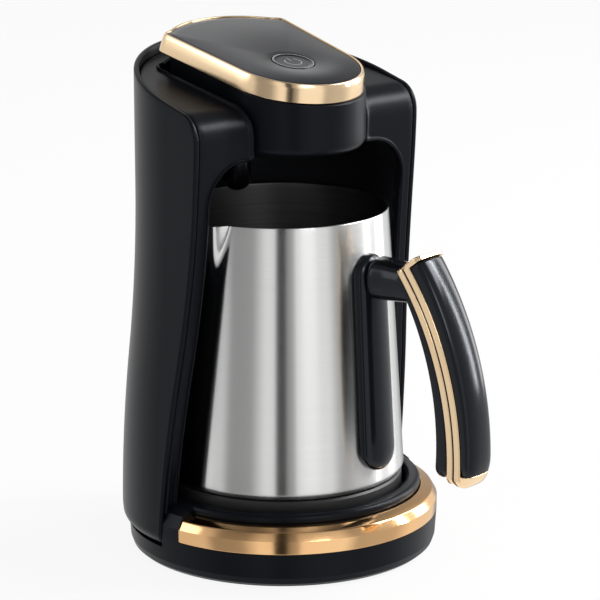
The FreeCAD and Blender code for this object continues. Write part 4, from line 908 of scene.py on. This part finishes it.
# Grip, from the jug outwards: start and end along the arc, inner and outer offsets at top and foot, half width,
# section powers inwards and outwards, rounds at top and foot with the taper, gold or not, CAD node
LAYER_1, LAYER_2, LAYER_3 = -6.4, -3.38, -3.0
GRIP_PIECES = (
    ("grip_inner_half", (0.0, 1.004), (-9.0, -14.0), (-6.35, -6.35),
     GRIP_HALF, (3.0, 12.0), (1.2, 5.0, 0.4), False, "grip_core"),
    ("grip_band_inner", (-0.018, 1.02), (LAYER_1, LAYER_1), (LAYER_2, LAYER_2),
     GRIP_HALF + 0.3, (12.0, 12.0), (0.4, 3.0, 0.3), True, "grip_trim_inner"),
    ("grip_band_seam", (-0.010, 1.01), (LAYER_2, LAYER_2), (LAYER_3, LAYER_3),
     GRIP_HALF + 0.12, (12.0, 12.0), (0.4, 2.0, 0.2), False, "grip_seam"),
    ("grip_band_outer", (-0.018, 1.02), (LAYER_3, LAYER_3), (0.15, 0.15),
     GRIP_HALF + 0.3, (12.0, 12.0), (0.4, 3.0, 0.3), True, "grip_trim_outer"),
    ("grip_cap_top", (-0.022, 0.006), (-2.9, -2.9), (6.5, 6.5),
     GRIP_HALF + 0.35, (9.0, 5.0), (0.9, 0.4, 0.1), True, None),
    ("grip_lip_foot", (0.965, 1.034), (-6.3, -6.3), (5.2, 4.2),
     GRIP_HALF + 0.1, (9.0, 3.2), (0.5, 7.5, 0.5), True, None),
    ("grip_outer_half", (0.004, 1.002), (0.12, 0.12), (6.4, 4.4),
     GRIP_HALF, (14.0, 2.3), (0.8, 9.0, 0.5), False, "grip_cover"),
)
for name, ends, inner, outer, half, powers, rounds, golden, node_name in GRIP_PIECES:
    skin(name, grip_layer(*ends, inner, outer, half, powers, *rounds), "jug",
         rose if golden else handle_satin,
         [node_name] if node_name else (), wrap_v=True, cap=True)


# Stage, light and camera

def stage_floor():
    """A wide flat floor whose far edge lies beyond the picture. It takes shadows, glows towards the camera so
    that it meets the white background, and lets glossy rays through to the room's own table."""
    count = 9
    x = np.linspace(-4000, 4000, count)
    y = np.linspace(-3000, 6000, count)
    grid = np.stack([x[:, None] + 0 * y, y[None, :] + 0 * x[:, None], np.zeros((count, count))], -1)
    mesh = quad_mesh("studio_floor", grid, np.arange(count * count).reshape(count, count))
    floor = bpy.data.objects.new("studio_floor", mesh)
    bpy.context.scene.collection.objects.link(floor)
    f = Finish("pale_floor")
    f.constants(Base_Color=(0.86, 0.86, 0.86, 1.0), Roughness=0.9)
    seen = f.node("ShaderNodeLightPath", out="Is Camera Ray")
    mirrored_ray = f.node("ShaderNodeLightPath", out="Is Glossy Ray")
    glow = f.node("ShaderNodeEmission", {}, {"Color": (1, 1, 1, 1), "Strength": 1.0})
    matt = Field(f, f.shader.outputs[0])
    lit = f.node("ShaderNodeMixShader", {}, {0: seen * FLOOR_GLOW, 1: matt, 2: glow})
    clear = f.node("ShaderNodeBsdfTransparent")
    whole = f.node("ShaderNodeMixShader", {}, {0: mirrored_ray, 1: lit, 2: clear})
    f.join(whole.socket, f.nodes["Material Output"].inputs[0])
    mesh.materials.append(f.material)


# The room as polished surfaces see it: brightness by bearing in degrees from the camera's side, then shares by
# height in degrees for the walls and for the white table below
ROOM_LEVEL = 0.45
FLOOR_GLOW = 0.9
ROOM_BANDS = (
    (-180, 1.0), (-170, 0.95), (-140, 0.80), (-122, 0.75), (-88, 0.75), (-76, 0.75), (-60, 0.75), (-52, 0.34),
    (-44, 0.34), (-30, 0.38), (-17, 0.98), (-7.0, 0.98), (-6.0, 0.0), (3.6, 0.0), (4.6, 0.34), (12, 0.44),
    (14, 1.0), (48, 1.0), (58, 0.50), (70, 0.55), (92, 0.60), (110, 1.0), (150, 0.9), (160, 0.40), (171, 0.42),
    (177, 0.92), (180, 1.0))
ROOM_HEIGHTS = ((-90, 1.0), (22, 1.0), (34, 0.85), (48, 0.45), (90, 0.30))
ROOM_TABLE = ((-90, 0.92), (-38, 0.92), (-31, 0.0), (90, 0.0))


def studio_world():
    """White to the camera and plain grey as soft light. Reflections see a pale room with two dark screens and a
    white table: wall(bearing) * wall(height) * (1 - table(height)) + table(height)."""
    world = bpy.data.worlds.new("studio")
    bpy.context.scene.world = world
    world.use_nodes = True
    room = Nodework(world.node_tree)
    toward = room.node("ShaderNodeTexCoord", out="Generated")

    def along(direction):
        settings = {"operation": "DOT_PRODUCT"}
        return room.node("ShaderNodeVectorMath", settings, {0: toward, 1: direction}, out="Value")

    def ramp(stops, factor):
        shades = [(at, (level, level, level)) for at, level in stops]
        return room.node("ShaderNodeValToRGB", {"stops": shades}, {"Fac": factor}, out="Color")

    def by_height(stops, factor):
        return ramp([(0.5 + 0.5 * math.sin(math.radians(degrees)), level) for degrees, level in stops], factor)

    ahead = along((math.sin(AZIMUTH), -math.cos(AZIMUTH), 0.0))
    right = along((math.cos(AZIMUTH), math.sin(AZIMUTH), 0.0))
    up = along((0.0, 0.0, 1.0)) * 0.5 + 0.5
    turn = room.node("ShaderNodeMath", {"operation": "ARCTAN2"}, {0: right, 1: ahead})
    bearing = turn * (0.5 / math.pi) + 0.5
    bands = [(degrees / 360 + 0.5, level) for degrees, level in ROOM_BANDS]
    walls = ramp(bands, bearing) * by_height(ROOM_HEIGHTS, up)
    table = by_height(ROOM_TABLE, up)
    mirrored_room = walls * (1 - table) + table
    camera_ray = room.node("ShaderNodeLightPath", out="Is Camera Ray")
    glossy_ray = room.node("ShaderNodeLightPath", out="Is Glossy Ray")
    soft = ROOM_LEVEL + glossy_ray * (mirrored_room - ROOM_LEVEL)
    level = soft + camera_ray * (1 - soft)
    background = room.nodes["Background"]
    background.inputs["Color"].default_value = (1, 1, 1, 1)
    room.join(level.socket, background.inputs["Strength"])


def soft_lamp(name, place, target, size, power):
    """A rectangular soft box that faces its target."""
    data = bpy.data.lights.new(name, "AREA")
    data.shape = "RECTANGLE"
    data.size, data.size_y = size
    data.energy = power
    lamp = bpy.data.objects.new(name, data)
    bpy.context.scene.collection.objects.link(lamp)
    lamp.location = place
    direction = np.array(target) - np.array(place)
    lamp.rotation_euler = Vector(direction).to_track_quat("-Z", "Y").to_euler()


# Name, place and target in metres, width and height, power in watts
LAMPS = (
    ("right_box", (1.45, -0.18, 0.55), (0, 0, 0.1), (0.40, 1.3), 9),
    ("strip_light", (1.30, -0.75, 0.66), (0, 0, 0.1), (0.08, 1.28), 11),
    ("front_box", (-0.35, -1.70, 0.95), (0, 0, 0.1), (0.5, 0.5), 4),
    ("left_box", (-1.6, 0.9, 0.7), (0, 0, 0.1), (0.7, 1.0), 4),
    ("top_box", (1.0, -0.72, 1.05), (0, 0, 0.15), (0.6, 0.45), 11),
)
TARGET = np.array((5.40, -4.53, 101.26)) * MM
AZIMUTH, ELEVATION, DISTANCE = math.radians(-40.0), math.radians(14.52), 1.1533
SENSOR_WIDTH, LENS = 36.0, 171.36

stage_floor()
studio_world()
for lamp in LAMPS:
    soft_lamp(*lamp)

camera_data = bpy.data.cameras.new("photo_camera")
camera = bpy.data.objects.new("photo_camera", camera_data)
bpy.context.scene.collection.objects.link(camera)
bpy.context.scene.camera = camera
camera_data.sensor_width = SENSOR_WIDTH
camera_data.lens = LENS
level_reach = math.cos(ELEVATION)
away = np.array((level_reach * math.sin(AZIMUTH), -level_reach * math.cos(AZIMUTH), math.sin(ELEVATION)))
camera.location = TARGET + away * DISTANCE
camera.rotation_euler = (math.pi / 2 - ELEVATION, 0, AZIMUTH)

bpy.context.scene.view_settings.view_transform = "Standard"
